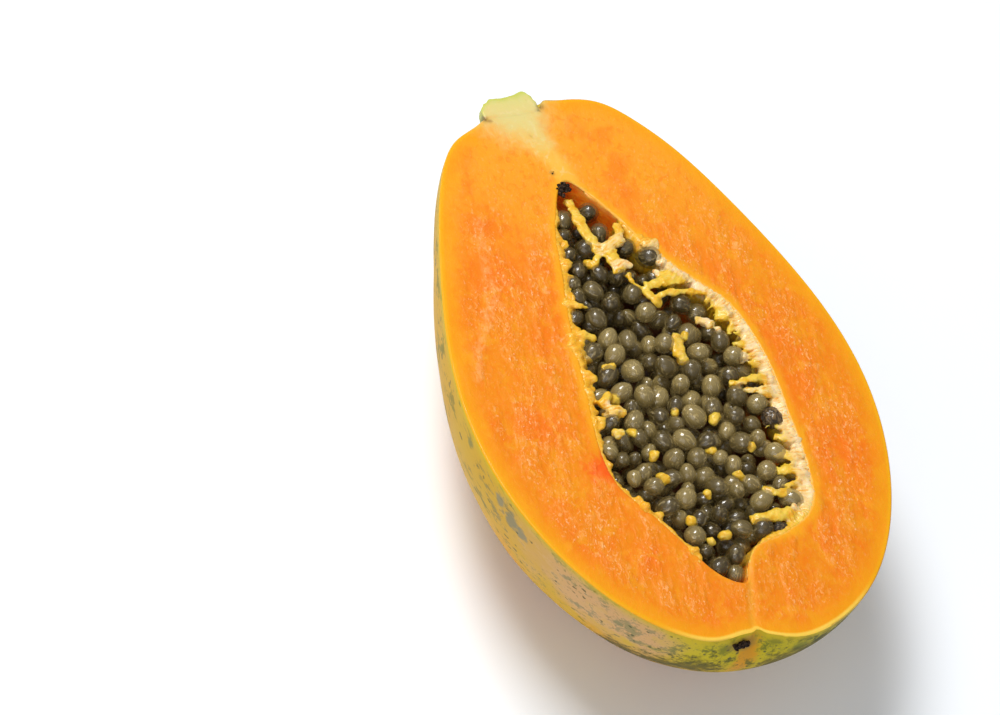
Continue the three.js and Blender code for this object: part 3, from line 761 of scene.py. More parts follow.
def jelly_material():
    """The clear wet jelly coat of a seed, with pale veins and wrinkles."""
    f = Finish("seed_jelly", Coat_Weight=1.0, Coat_Roughness=0.14, Coat_IOR=1.85, IOR=1.2)
    own = f.attribute("own", output=1)
    tone = f.attribute("tone")
    wrinkles = f.noise(f.stretched(own, 1, 0.3, 1), 0.9, detail=3, roughness=0.6, distortion=0.8)
    clouds = f.noise(own, 1.7, detail=2)
    colour = f.mix(f.between(tone, 0.1, 0.9), JELLY["dark"], JELLY["pale"])
    colour = f.mix(f.between(clouds, 0.45, 0.7) * 0.4, colour, JELLY["cloud"])
    colour = f.mix(f.between(wrinkles, 0.56, 0.66) * 0.5, colour, JELLY["vein"])
    alpha = 0.31 + 0.3 * f.between(wrinkles, 0.52, 0.66) + 0.2 * f.between(tone, 0.3, 1.0)
    return f.finish(Base_Color=colour, Alpha=alpha, Roughness=0.3 + 0.2 * clouds,
                    Normal=f.bump(wrinkles + clouds * 0.5, 0.55, 0.22))


# Colours of the seeds' kernels
KERNEL = {
    "furrow": (0.018, 0.012, 0.006), "ridge": (0.085, 0.060, 0.024), "pale": (0.11, 0.082, 0.035),
}


def kernel_material():
    """The dark ridged kernel of a seed."""
    f = Finish("seed_kernel", Coat_Weight=0.3, Coat_Roughness=0.3, IOR=1.45)
    own = f.attribute("own", output=1)
    tone = f.attribute("tone")
    ridges = f.noise(f.stretched(own, 1, 0.35, 1), 0.8, detail=4, roughness=0.65)
    colour = f.mix(f.between(ridges, 0.4, 0.7), KERNEL["furrow"], KERNEL["ridge"])
    colour = f.mix(tone * 0.6, colour, KERNEL["pale"])
    return f.finish(Base_Color=colour, Roughness=0.45, Normal=f.bump(ridges, 0.7, 0.4))


# Colours of dried tissue
DRIED = {
    "black": (0.012, 0.007, 0.005), "brown": (0.075, 0.042, 0.024),
}


def dry_material():
    """Dried, nearly black crumbs of tissue."""
    f = Finish("dried_black", IOR=1.18)
    here = f.place()
    grain = f.noise(here, 0.5, detail=4)
    colour = f.mix(f.between(grain, 0.45, 0.65), DRIED["black"], DRIED["brown"])
    return f.finish(Base_Color=colour, Roughness=0.35 + 0.3 * grain, Normal=f.bump(grain, 0.7, 0.3))


# Colours of a shrivelled seed
SHRIVELLED = {
    "fold": (0.025, 0.014, 0.006), "brown": (0.20, 0.125, 0.05), "black": (0.012, 0.008, 0.005),
}


def shrivelled_material():
    """The brown wrinkled coat of a dried seed."""
    f = Finish("shrivelled_seed", Coat_Weight=0.6, Coat_Roughness=0.18, IOR=1.3)
    here = f.place()
    wrinkles = f.noise(f.stretched(here, 1, 0.5, 1), 0.8, detail=4, roughness=0.7, distortion=1.2)
    patch = f.noise(here, 3.0, detail=2)
    colour = f.mix(f.between(wrinkles, 0.42, 0.62), SHRIVELLED["fold"], SHRIVELLED["brown"])
    colour = f.mix(f.between(patch, 0.5, 0.6) * 0.85, colour, SHRIVELLED["black"])
    return f.finish(Base_Color=colour, Roughness=0.4, Normal=f.bump(wrinkles, 0.9, 0.4))


# Colours of the stem stub
STUB = {
    "green": (0.62, 0.55, 0.15), "pale green": (0.70, 0.59, 0.20), "top": (0.52, 0.54, 0.12),
    "left side": (0.40, 0.42, 0.08), "underside": (0.46, 0.47, 0.10), "foot": (0.16, 0.11, 0.02),
    "notch": (0.12, 0.08, 0.03), "grain": (0.76, 0.72, 0.38),
}


def stub_material():
    """The pale green skin of the stem stub, browned at its foot and at the notch."""
    f = Finish("stem_stub_green", Subsurface_Weight=0.2, Subsurface_Scale=0.003,
               Subsurface_Radius=(0.8, 1.0, 0.3), Coat_Weight=0.1, Coat_Roughness=0.4)
    here = f.place()
    across, along, up = f.axes(here)
    clouds = f.noise(here, 3.5, detail=4)
    grain = f.noise(f.stretched(here, 1, 0.3, 1), 0.9, detail=3, roughness=0.6)
    colour = f.mix(f.between(clouds, 0.35, 0.65), STUB["green"], STUB["pale green"])
    colour = f.mix(f.between(along + (clouds - 0.5) * 3, 89.0, 92.0) * 0.7, colour, STUB["top"])
    colour = f.mix(f.between(across + (clouds - 0.5) * 5, -9, -13) * 0.8, colour, STUB["left side"])
    colour = f.mix(f.between(up + (clouds - 0.5) * 2, -0.8, -4.0) * 0.5, colour, STUB["underside"])
    foot = f.between(f.distance(here, (-13.4, 84.6, -0.5)) + (grain - 0.5) * 2, 2.6, 1.0)
    notch = f.between(f.distance(here, (4.4, 86.2, -0.5)) + (grain - 0.5) * 2.5, 1.8, 0.6)
    colour = f.mix(foot * 0.8, colour, STUB["foot"])
    colour = f.mix(notch * 0.8, colour, STUB["notch"])
    colour = f.mix(f.between(grain, 0.6, 0.75) * 0.35, colour, STUB["grain"])
    return f.finish(Base_Color=colour, Roughness=0.5, Normal=f.bump(grain + clouds, 0.5, 0.3))


# Which of the fruit's materials a face has
SKIN_FACE, CUT_FACE, WALL_FACE = 0, 1, 2


class Body:
    """The fruit's mesh as it grows, with what its materials read at each point."""

    def __init__(self):
        self.points, self.faces, self.face_materials = [], [], []
        self.ways, self.rim = [], []

    def add(self, point, ways, rim=0):
        """A point, its ways from the rim and from the cavity, and how near it is to the rim."""
        self.points.append(point)
        self.ways.append(ways)
        self.rim.append(rim)
        return len(self.points) - 1

    def cover(self, faces, material):
        """Faces that all have one of the fruit's materials."""
        self.faces += faces
        self.face_materials += [material] * len(faces)


def rim_loop():
    """Where the rim's points lie in the skin's grid, from the stem end round by the right."""
    right = [(step, 0) for step in range(SKIN_ALONG, 0, -1)]
    left = [(step, SKIN_ROUND) for step in range(0, SKIN_ALONG)]
    return right + left


def matched_outline(rim):
    """A point of the cavity's outline for each point of the rim, side by side along both edges."""
    fine = closed_curve(CAVITY_OUTLINE, 2400)
    stem = np.argmin(np.hypot(*(fine - np.array(CAVITY_OUTLINE[0])).T))
    blossom = np.argmin(np.hypot(*(fine - np.array(CAVITY_OUTLINE[BLOSSOM_TIP])).T))
    fine = np.roll(fine, -stem, axis=0)
    turn = (blossom - stem) % len(fine)
    matched = []
    for edge, side in ((rim[: SKIN_ALONG + 1], fine[: turn + 1]),
                       (np.vstack([rim[SKIN_ALONG:], rim[:1]]), np.vstack([fine[turn:], fine[:1]]))):
        run = np.concatenate([[0], np.cumsum(np.hypot(*np.diff(edge[:, :2], axis=0).T))])
        along = np.concatenate([[0], np.cumsum(np.hypot(*np.diff(side, axis=0).T))])
        shares = run / run[-1] * along[-1]
        matched.append(np.stack([np.interp(shares, along, side[:, axis]) for axis in (0, 1)], -1)[:-1])
    return np.vstack(matched)


def bowl_ring(outline, sink):
    """The cavity's outline drawn in and down: sink is 0 at the cut face and 1 at the bottom."""
    middle = np.array(CAVITY_MIDDLE)
    shrink = math.cos(math.asin(min(1, sink))) ** CAVITY_STEEPNESS
    flat = middle + (outline - middle) * shrink
    return np.column_stack([flat, np.full(len(flat), -CAVITY_DEPTH * sink)])


def grow_skin(body):
    """The skin, in rows from the blossom end; gives the numbers of the points along its rim."""
    grid = {}
    turns = np.linspace(0, math.pi, SKIN_ROUND + 1)
    high, wide, fade_depth = SKIN_SWELL
    for step, along in enumerate(ALL_ALONG):
        at_end = step in (0, SKIN_ALONG)
        row = skin_points(np.full(SKIN_ROUND + 1, along), turns)
        swell = high * rough(row, wide, 2) if not at_end else np.zeros(len(row))
        outward = row * np.array([1, 0, 1])
        outward /= np.maximum(np.linalg.norm(outward, axis=1), 1e-6)[:, None]
        fade = np.clip(-row[:, 2] / fade_depth, 0, 1)
        row = row + outward * (swell * fade)[:, None]
        row[:, 2] = np.maximum(row[:, 2], LOWEST)
        row[[0, -1], 2] -= BEVEL
        if at_end:
            index = body.add(row[0], (0, FAR), 1)
            grid.update({(step, turn): index for turn in range(SKIN_ROUND + 1)})
            continue
        for turn, point in enumerate(row):
            grid[step, turn] = body.add(point, (0, FAR), math.exp(-((point[2] / RIM_LINE) ** 2)))
    faces = []
    for step in range(SKIN_ALONG):
        for turn in range(SKIN_ROUND):
            corners = grid[step, turn], grid[step, turn + 1], grid[step + 1, turn + 1], grid[step + 1, turn]
            faces.append(list(dict.fromkeys(corners))[::-1])
    body.cover(faces, SKIN_FACE)
    return [grid[place] for place in rim_loop()]


def grow_cut_face(body, rim_points, outline):
    """The bevel and the cut face, in rings from the rim; gives the ring along the cavity."""
    rim = np.array([body.points[index] for index in rim_points])
    toward = outline - rim[:, :2]
    toward /= np.linalg.norm(toward, axis=1)[:, None]
    edge = rim[:, :2] + toward * BEVEL
    run = np.linalg.norm(outline - edge, axis=1)
    last = rim_points
    for share in (1 - np.cos(np.linspace(0, 1, CUT_ROWS) ** 0.9 * math.pi)) / 2:
        flat = edge + (outline - edge) * share
        spots = np.column_stack([flat, np.zeros(len(flat))])
        wave = 0.2 * rough(spots, 9, 3) + 0.07 * rough(spots * np.array([1, 0.5, 1]), 1.6, 2)
        groove, ridge = near_path(flat, VEIN, 0.8), near_path(flat, RIDGE, 1.0)
        woody = near_path(flat, STUB_FOOT, STUB_FOOT_REACH)
        fade = min(1, share * 12) * (1 - woody)
        lip = np.clip(1 - (1 - share) * run / 0.7, 0, 1)
        height = (wave - 0.3 * groove + 0.16 * ridge) * fade - 0.45 * lip**2 - 0.15 * woody
        ring = [body.add((*spot, z), (share * way, (1 - share) * way))
                for spot, z, way in zip(flat, np.minimum(height, 0.45), run)]
        body.cover(strip(last, ring), CUT_FACE)
        last = ring
    return last


def grow_cavity(body, last, outline):
    """The cavity's uneven wall, in rings down to its bottom."""
    middle = np.array([*CAVITY_MIDDLE, -6])
    for row in range(1, CAVITY_ROWS):
        ring_points = bowl_ring(outline, math.sin(math.pi / 2 * (row / CAVITY_ROWS) ** 1.3))
        lumps = 0.5 * rough(ring_points, 5, 3)
        away = ring_points - middle
        away /= np.linalg.norm(away, axis=1)[:, None]
        ring_points += away * lumps[:, None]
        ring_points[:, 2] = np.minimum(ring_points[:, 2], -0.5)
        ring = [body.add(point, (FAR, 0)) for point in ring_points]
        body.cover(strip(last, ring), WALL_FACE)
        last = ring
    bottom = body.add((*CAVITY_MIDDLE, -CAVITY_DEPTH), (FAR, 0))
    body.cover([[start, end, bottom] for start, end in zip(last, last[1:] + last[:1])], WALL_FACE)


def make_fruit(flesh):
    """Flesh and skin in one closed mesh: skin, bevelled rim, cut face and cavity wall."""
    body = Body()
    rim_points = grow_skin(body)
    outline = matched_outline(np.array([body.points[index] for index in rim_points]))
    grow_cavity(body, grow_cut_face(body, rim_points, outline), outline)
    piece = make_piece("papaya_flesh_and_skin", body.points, body.faces, "fruit_half", "flesh_and_skin",
                       [skin_material(), flesh, cavity_wall_material()], body.face_materials)
    spots = np.array(body.points)
    give_attribute(piece, "from_rim", [from_rim for from_rim, _ in body.ways])
    give_attribute(piece, "from_cavity", [from_cavity for _, from_cavity in body.ways])
    give_attribute(piece, "rim", body.rim)
    give_attribute(piece, "ridge", near_path(spots, RIDGE, 0.9))
    give_attribute(piece, "vein", near_path(spots, VEIN, 0.9))
    # How near each point is to the line of painted shade low on the skin
    give_attribute(piece, "painted_shade", painted_shade_at(spots))
    give_stalk(piece, spots)


class Heap:
    """Seeds that drop one by one, each to where it lies lowest near a few random spots."""

    def __init__(self, draw):
        self.random = random.Random(draw)
        self.places = np.zeros((SEED_LIMIT, 3))
        self.radii = np.zeros(SEED_LIMIT)
        self.count = 0
        self.axes = []

    def resting_height(self, x, y, radius):
        """How high a seed comes to lie on the seeds that dropped before it, or on the heap's floor."""
        height = HEAP_FLOOR + HEAP_SINK * radius
        dropped = slice(len(LAID_SEEDS), self.count)
        reach = SEED_CONTACT * (self.radii[dropped] + radius)
        apart = np.hypot(self.places[dropped, 0] - x, self.places[dropped, 1] - y)
        under = apart < reach
        if under.any():
            risen = self.places[dropped, 2][under] + np.sqrt(reach[under] ** 2 - apart[under] ** 2)
            height = max(height, risen.max())
        return height

    def top_at(self, x, y):
        """How high the heap may reach at a spot."""
        return HEAP_TOP - max(depth * math.exp(-((x - dip_x) ** 2 + (y - dip_y) ** 2) / reach**2)
                              for dip_x, dip_y, reach, depth in HEAP_DIPS)

    def seed_at(self, x, y, radius):
        """A seed's place in the heap at a spot, or None where the cavity has no room for it."""
        z = self.resting_height(x, y, radius)
        room = depth_inside(x, y) - wall_slope(z) - PULP_CONTACT * max(0.2, band_at(x, y))
        return (x, y, z) if room > radius * WALL_CONTACT else None

    def lay(self, place, radius):
        """Adds a seed, turned at random."""
        self.places[self.count] = place
        self.radii[self.count] = radius
        draw = self.random.random
        self.axes.append(Vector((draw() - 0.5, draw() - 0.5, draw() - 0.5)).normalized())
        self.count += 1

    def drop(self):
        """Tries to lay one seed: True if one lies below the top of the heap."""
        draw = self.random.random
        radius = SEED_RADIUS * (1 - SEED_SPREAD / 2 + SEED_SPREAD * draw())
        left, right, front, back = HEAP_AREA
        best = None
        for _ in range(SEED_TRIES):
            x, y = left + (right - left) * draw(), front + (back - front) * draw()
            best = lower_of(best, self.seed_at(x, y, radius))
        for nudge in range(SEED_NUDGES):
            if best:
                push = radius * (1 - nudge / SEED_NUDGES)
                x, y = best[0] + push * (2 * draw() - 1), best[1] + push * (2 * draw() - 1)
                best = lower_of(best, self.seed_at(x, y, radius))
        if best is None or best[2] > self.top_at(best[0], best[1]) or self.blocked(best, radius):
            return False
        self.lay(best, radius)
        return True

    def blocked(self, place, radius):
        """Whether a seed would lie inside one of the seeds that were laid first."""
        laid = slice(len(LAID_SEEDS))
        apart = np.linalg.norm(self.places[laid] - np.array(place), axis=1)
        return bool((apart < BLOCKED_CONTACT * (self.radii[laid] + radius)).any())

    def sunk_height(self, x, y, radius):
        """How high a laid seed can lie without cutting into the seeds laid before it."""
        start, end, depth = HOLLOW
        height = LAID_TOP - depth * min(1, max(0, (y - start) / (end - start)))
        height -= LAID_SCATTER * self.random.random()
        reach = LAID_CONTACT * (self.radii[: self.count] + radius)
        apart = np.hypot(self.places[: self.count, 0] - x, self.places[: self.count, 1] - y)
        touching = apart < reach
        for _ in range(4):
            drop = np.sqrt(np.maximum(reach[touching] ** 2 - apart[touching] ** 2, 0))
            over = self.places[: self.count, 2][touching]
            cutting = np.abs(over - height) < drop - 0.01
            if cutting.any():
                height = (over - drop)[cutting].min()
        return max(height, LAID_LOWEST)

    def fill(self):
        """Lays the seeds that show, and drops more until too many in a row find no place."""
        for x, y, radius in LAID_SEEDS:
            self.lay((x, y, self.sunk_height(x, y, radius)), radius)
        misses = 0
        while misses < SEED_MISSES and self.count < SEED_LIMIT:
            misses = 0 if self.drop() else misses + 1


def lower_of(first, second):
    """The lower of two places, either of which may be None."""
    if first is None or second is None:
        return first or second
    return second if second[2] < first[2] else first


def ball(sides, rows):
    """The points and faces of a round form of radius 1 about the y axis."""
    points, faces = [(0, -1, 0)], []
    for row in range(1, rows):
        tilt = math.pi * row / rows
        for side in range(sides):
            turn = 2 * math.pi * side / sides
            points.append((math.sin(tilt) * math.cos(turn), -math.cos(tilt), math.sin(tilt) * math.sin(turn)))
    points.append((0, 1, 0))
    for side in range(sides):
        nxt = (side + 1) % sides
        faces.append((0, 1 + side, 1 + nxt))
        for row in range(rows - 2):
            near, far = 1 + row * sides, 1 + (row + 1) * sides
            faces.append((near + side, far + side, far + nxt, near + nxt))
        edge = 1 + (rows - 2) * sides
        faces.append((edge + side, len(points) - 1, edge + nxt))
    return np.array(points, float), faces


def make_seeds(heap):
    """A dark kernel and a clear coat for each seed of the heap."""
    draw = random.Random(91)
    looks = [(draw.random(), Vector((draw.random(), draw.random(), draw.random())) * 40)
             for _ in range(heap.count)]
    for name, share, sides, rows, material in (
        ("seed_kernels", KERNEL_SHARE, 12, 8, kernel_material()),
        ("seed_coats", 1.0, 18, 12, jelly_material()),
    ):
        unit, unit_faces = ball(sides, rows)
        points, faces, tones, own = [], [], [], []
        for place, whole_radius, axis, (tone, offset) in zip(heap.places, heap.radii, heap.axes, looks):
            tone = min(1, max(0, tone + np.interp(place[1], *SEED_PALENESS)))
            radius = whole_radius * share
            turn = Vector((0, 1, 0)).rotation_difference(axis).to_matrix()
            form = unit * np.array([1 - SEED_STRETCH / 2, 1 + SEED_STRETCH, 1 - SEED_STRETCH / 2])
            form[:, [0, 2]] *= (1 - SEED_TAPER * unit[:, 1])[:, None]
            lumps = 1 + 0.035 * rough(form + np.array(offset), 0.9, 2)
            form = form * lumps[:, None] * radius
            join(points, faces, (form @ np.array(turn.transposed()) + place).tolist(), unit_faces)
            tones.extend([tone] * len(unit))
            own.extend((unit * radius + np.array(offset)).tolist())
        piece = make_piece(name, points, faces, "seeds", "seeds", [material])
        give_attribute(piece, "tone", tones)
        give_attribute(piece, "own", own)


def tube_form(path, radii, sides=8, flatten=1.0):
    """Points and faces of a closed, rounded, tapered form along a path; flatten squeezes it in height."""
    path = [Vector(point) for point in path]
    rings = []
    for step, point in enumerate(path):
        heading = (path[min(step + 1, len(path) - 1)] - path[max(step - 1, 0)]).normalized()
        across = Vector((0, 0, 1)).cross(heading)
        across = across.normalized() if across.length > 1e-4 else Vector((1, 0, 0))
        over = heading.cross(across)
        rings.append([
            point + across * (radii[step] * math.cos(2 * math.pi * side / sides))
            + over * (radii[step] * flatten * math.sin(2 * math.pi * side / sides))
            for side in range(sides)
        ])
    points = [path[0]] + [point for ring in rings for point in ring] + [path[-1]]
    faces = []
    for side in range(sides):
        nxt = (side + 1) % sides
        faces.append((0, 1 + nxt, 1 + side))
        for ring in range(len(rings) - 1):
            near, far = 1 + ring * sides, 1 + (ring + 1) * sides
            faces.append((near + side, near + nxt, far + nxt, far + side))
        edge = 1 + (len(rings) - 1) * sides
        faces.append((edge + side, edge + nxt, len(points) - 1))
    return [tuple(point) for point in points], faces


# Strands and flaps of pulp that cross the cavity: points, half width at both ends, flatness and paleness
STRANDS = (
    (((0.5, 55.8, -2.6), (0.1, 50.4, -1.2), (-0.4, 45.0, -0.4), (0.0, 40.5, 0.0), (1.2, 36.7, -0.2)),
     1.1, 1.7, 0.45, 0.3),
    (((1.1, 36.3, -0.2), (-1.1, 33.5, -0.4), (-2.4, 31.2, -1.6)), 1.1, 0.6, 0.5, 0.1),
    (((8.1, 38.7, 0.3), (5.0, 37.7, 0.5), (1.5, 36.5, 0.0)), 1.5, 1, 0.55, 0.6),
    (((9.8, 44.4, -0.6), (9.0, 40.9, 0.2), (7.7, 37.8, 0.2)), 1.1, 1.4, 0.5, 0),
    (((3.7, 35.7, 0.2), (3.4, 32.0, 0.5), (4.6, 28.1, 0.4)), 1.7, 1.9, 0.3, 0),
    (((3.3, 30.4, 0.8), (5.8, 30.5, 1.0), (7.7, 28.9, 0.6)), 1, 0.9, 0.7, 0.9),
    (((5.4, 27.2, 0.5), (5.7, 24.3, 0.6), (7.9, 21.7, 0.3)), 0.8, 0.45, 0.8, 0.1),
    (((8.6, 22.5, 0.4), (12.3, 22.7, 0.8), (17.4, 23.0, 0.8), (23.0, 24.2, -0.6)), 1.1, 1.8, 0.42, 0),
    (((13.3, 25.5, -0.4), (16.7, 25.1, 0.3), (20.9, 25.6, -0.6)), 0.9, 1.7, 0.4, 0.3),
    (((9.3, 18.3, 0.3), (13.2, 19.0, 0.8), (19.2, 18.7, 0.7), (24.9, 17.3, 0.3), (30.1, 15.5, -0.6)),
     0.9, 0.6, 0.6, 0.3),
    (((7.8, 21.4, 0.2), (9.4, 18.0, 0.6), (11.3, 16.3, -0.8)), 0.9, 1.3, 0.5, 0.05),
    (((14.0, 39.8, -0.6), (15.4, 36.6, 0.2), (19.1, 35.7, -0.6)), 1.2, 1.8, 0.45, 0.25),
    (((-16.2, 22.2, -0.6), (-13.5, 20.2, 0.4), (-10.0, 18.8, 0.0)), 1, 0.5, 0.6, 0.1),
    (((-10.4, 34.0, -0.8), (-9.8, 32.4, -0.6)), 1.2, 1.3, 0.6, 0),
    (((-19.5, 10.6, -0.8), (-15.6, 11.0, 0.0), (-11.4, 9.0, -0.6)), 1.1, 1.0, 0.6, 0.1),
    (((11.5, 6.9, -0.6), (9.2, 2.4, -0.2), (9.4, -0.3, -1.0)), 0.9, 1.1, 0.5, 0.2),
    (((18.3, 9.7, 0.0), (20.8, 8.3, 0.4), (22.4, 6.4, 0.0)), 0.9, 1.2, 0.6, 0.6),
    (((19.1, -11.2, -0.6), (22.7, -11.7, 0.3), (28.4, -11.5, 0.3), (31.9, -13.3, -0.4)), 0.6, 1.3, 0.45, 0.1),
    (((22.1, -13.8, -0.6), (26.0, -15.3, 0.2), (30.6, -16.7, -0.4)), 0.6, 1.6, 0.4, 0.6),
    (((24.4, -29.5, -0.5), (27.6, -31.4, 0.2), (31.7, -32.4, -0.5)), 1.1, 0.8, 0.5, 0),
    (((20.4, -39.9, -0.6), (24.6, -41.1, 0.1), (29.0, -43.1, -0.4)), 1.1, 1, 0.5, 0),
    (((14.2, -43.8, -1.0), (17.2, -46.4, -0.2), (22.1, -46.8, -0.6)), 0.8, 1.3, 0.45, 0.2),
    (((6.9, -52.2, -1.4), (11.9, -52.6, -0.6), (19.7, -52.9, -0.6)), 1.2, 1.7, 0.5, 0.1),
    (((22.4, -34.1, -1.2), (25.9, -36.3, -0.4), (29.8, -37.8, -0.6)), 1, 1.3, 0.45, 0.15),
    (((11.5, 6.8, -1.0), (10.7, 1.9, -0.3), (8.7, -1.6, -0.2)), 0.8, 1.2, 0.5, 0.3),
    (((-19.6, 9.4, -0.7), (-18.9, 6.2, -0.4), (-19.4, 2.8, -0.9)), 1.3, 1.0, 0.7, 0),
    (((-20.2, 0.2, -0.8), (-18.6, -1.4, -0.2), (-16.9, -3.6, -0.6)), 1.0, 0.9, 0.7, 0),
    (((-21.4, -4.7, -0.8), (-20.4, -8.0, -0.5)), 0.9, 1.0, 0.7, 0),
    (((-19.6, -11.0, -0.5), (-17.6, -10.2, 0.0), (-15.2, -7.6, -0.5)), 1.0, 1.0, 0.7, 0.1),
    (((-14.0, 0.0, -0.4), (-9.9, -0.1, -0.4)), 1.0, 0.8, 0.7, 0.1),
    (((-18.4, -13.5, -0.2), (-15.2, -14.1, 0.2), (-13.8, -15.3, -0.4)), 1.2, 1.2, 0.7, 0.55),
    (((-19.6, -20.6, -0.5), (-16.3, -20.1, -0.2)), 1.0, 1.2, 0.7, 0.4),
    (((-20.6, -14.7, -0.6), (-21.6, -17.4, -0.8)), 0.9, 0.9, 0.7, 0),
    (((-8.9, 35.3, -0.9), (-11.2, 32.5, -0.8)), 1, 1.2, 0.6, 0),
    (((-6.9, 42.1, -1.2), (-7.3, 39.5, -1.2)), 0.8, 0.8, 0.6, 0),
    (((-13.2, 29.2, -0.9), (-14.7, 24.9, -0.9)), 0.9, 1.1, 0.6, 0),
    (((-17.0, 18.1, -1.0), (-19.0, 13.0, -1.0)), 1, 1.2, 0.6, 0),
)
# Yellow lumps of pulp among the seeds, and small cream seeds that never grew: x, y, z and radius
LUMPS = (
    (9.9, -2.2, 0.4, 1.5), (10.7, -20.4, 0.6, 1.9), (-10.3, -28.2, 0.2, 1.5), (-11.2, -35.3, 0, 1.4),
    (-2, -42.6, 0.4, 1.3), (-1.7, -55.5, 0.4, 1.5), (-6.7, -56, -0.2, 1.1), (9.8, -38.6, 0.2, 1.3),
    (9.4, 2.2, 0, 1.2), (-15.6, 4.5, -0.8, 1.8), (-14.0, -8.5, -0.6, 1.9), (-16.4, -14.6, -0.2, 2.1),
    (-13.2, -20.6, -0.6, 1.5), (1.2, -15.8, -0.6, 1.4), (17.6, -30.5, 0, 1.5), (-9.4, -48.6, -0.2, 1.4),
    (14.2, 6.4, -0.6, 1.3), (-2.6, 33.8, -0.6, 1.2), (5.6, -30.0, -0.4, 1.2), (21.5, -12.0, -0.2, 1.3),
)
PELLETS = (
    (17, 29.6, 0.5, 1.5), (21.3, 8.4, 0.6, 1.6), (13.9, 26.8, 0.4, 1.1), (30.4, -1.1, -0.3, 1.2),
    (27.2, -3.8, -0.2, 1.4), (20.4, -51.3, 0, 1.2), (-17.6, -11.4, 0.5, 1.0), (23.8, 5.6, 0.2, 1.2),
)
# The lining's section: way in as a share of the band's width, or in millimetres behind the wall, and height
LINING_SECTION = (
    (-1.3, -0.9), (-0.5, -0.16), (0.0, -0.1), (0.3, -0.25), (0.62, -0.55), (0.88, -1.1), (1, -2.2),
    (0.9, -4.5), (0.7, -8), (0.5, -PULP_DEPTH), (-0.5, -PULP_DEPTH), (-0.9, -6),
)


def outline_ways(spots):
    """For each spot, how far round the cavity's outline it lies and how far in from it, in millimetres."""
    run = CAVITY_NEXT - CAVITY
    lengths = np.hypot(*run.T)
    starts = np.concatenate([[0], np.cumsum(lengths)[:-1]])
    away = spots[:, None, :2] - CAVITY[None]
    share = np.clip((away * run).sum(2) / (lengths**2), 0, 1)
    apart = np.linalg.norm(away - share[..., None] * run, axis=2)
    nearest = apart.argmin(1)
    rows = np.arange(len(spots))
    inside = (run[nearest, 0] * away[rows, nearest, 1] - run[nearest, 1] * away[rows, nearest, 0]) < 0
    way_in = np.where(inside, apart[rows, nearest], -apart[rows, nearest])
    return starts[nearest] + share[rows, nearest] * lengths[nearest], way_in


def finger(draw, root, heading, long, thick, drop, blunt):
    """A lobe of pulp from a root, bent a little on its way; blunt is how wide its tip stays."""
    side = Vector((-heading.y, heading.x, 0)) * (draw.random() - 0.5) * 1.5
    tip = root + (heading + side).normalized() * long + Vector((0, 0, drop))
    bend = root.lerp(tip, 0.5) + Vector((0, 0, 0.35 + 0.5 * draw.random()))
    path = [root - heading * 0.8, root, bend, tip, tip + (tip - bend) * 0.15]
    return tube_form(path, [thick * 0.8, thick * 1.2, thick, thick * blunt, thick * blunt * 0.5], 8, 0.75)


def lining_form(outline, inward, width):
    """Points and faces of the lining, a closed ring that follows the cavity's wall."""
    count = len(outline)
    points = []
    for way_in, height in LINING_SECTION:
        ring = bowl_ring(outline, -height / CAVITY_DEPTH)
        shift = width * way_in if way_in > 0 else np.minimum(width, 0) + way_in
        ring[:, :2] += inward * shift[:, None]
        ring[:, 2] += rough(ring, 2.6, 3) * (0.15 + 0.3 * min(1, max(0, way_in)))
        points.extend(ring.tolist())
    rings = [list(range(start, start + count)) for start in range(0, len(points), count)]
    faces = [face for near, far in zip(rings, rings[1:] + rings[:1]) for face in strip(near, far)]
    return points, faces


def lobe_forms(draw, outline, inward, width):
    """The small lobes on the left wall and the fingers on the right wall."""
    spots = range(len(outline))
    on_left = [k for k in spots if inward[k, 0] > 0.5 and -62 < outline[k, 1] < 40]
    on_right = [k for k in spots if inward[k, 0] < -0.3 and -54 < outline[k, 1] < 30]
    for number in range(NUBS_LEFT):
        k = on_left[int(len(on_left) * (number + draw.random()) / NUBS_LEFT)]
        height = -0.7 - 3.0 * draw.random()
        root = Vector((*(outline[k] + inward[k] * width[k] * 0.5), height))
        heading = Vector((*inward[k], 0))
        for _ in range(1 + int(5 * draw.random() ** 1.5)):
            off = Vector((draw.random() - 0.5, 5 * (draw.random() - 0.5), draw.random() - 0.5))
            long, thick = 0.3 + 2.0 * draw.random() ** 2, 0.5 + 0.9 * draw.random()
            yield finger(draw, root + off, heading, long, thick, 0.6 * draw.random(), 0.8)
    for number in range(FINGERS_RIGHT):
        k = on_right[int(len(on_right) * (number + draw.random()) / FINGERS_RIGHT)]
        height = -0.5 - 1.8 * draw.random()
        root = Vector((*(outline[k] + inward[k] * width[k] * 0.8), height))
        heading = Vector((*inward[k], 0))
        long, thick = 0.8 + 5.0 * draw.random() ** 1.6, 0.4 + 0.9 * draw.random() ** 2
        yield finger(draw, root, heading, long, thick, draw.random() - 0.4, 0.45)


def strand_forms():
    """The strands and flaps, uneven along their length and drawn out thin at their end."""
    for path, start_width, end_width, flatness, _ in STRANDS:
        line = smooth_path(path, 6)
        last = len(line) - 1
        widths = []
        for step, point in enumerate(line):
            width = start_width + (end_width - start_width) * step / last
            widths.append(1.3 * width * (1 + 0.5 * noise.noise(Vector(point) / 1.3)))
        widths[-1] *= 0.3
        yield tube_form(line, widths, 10, flatness)


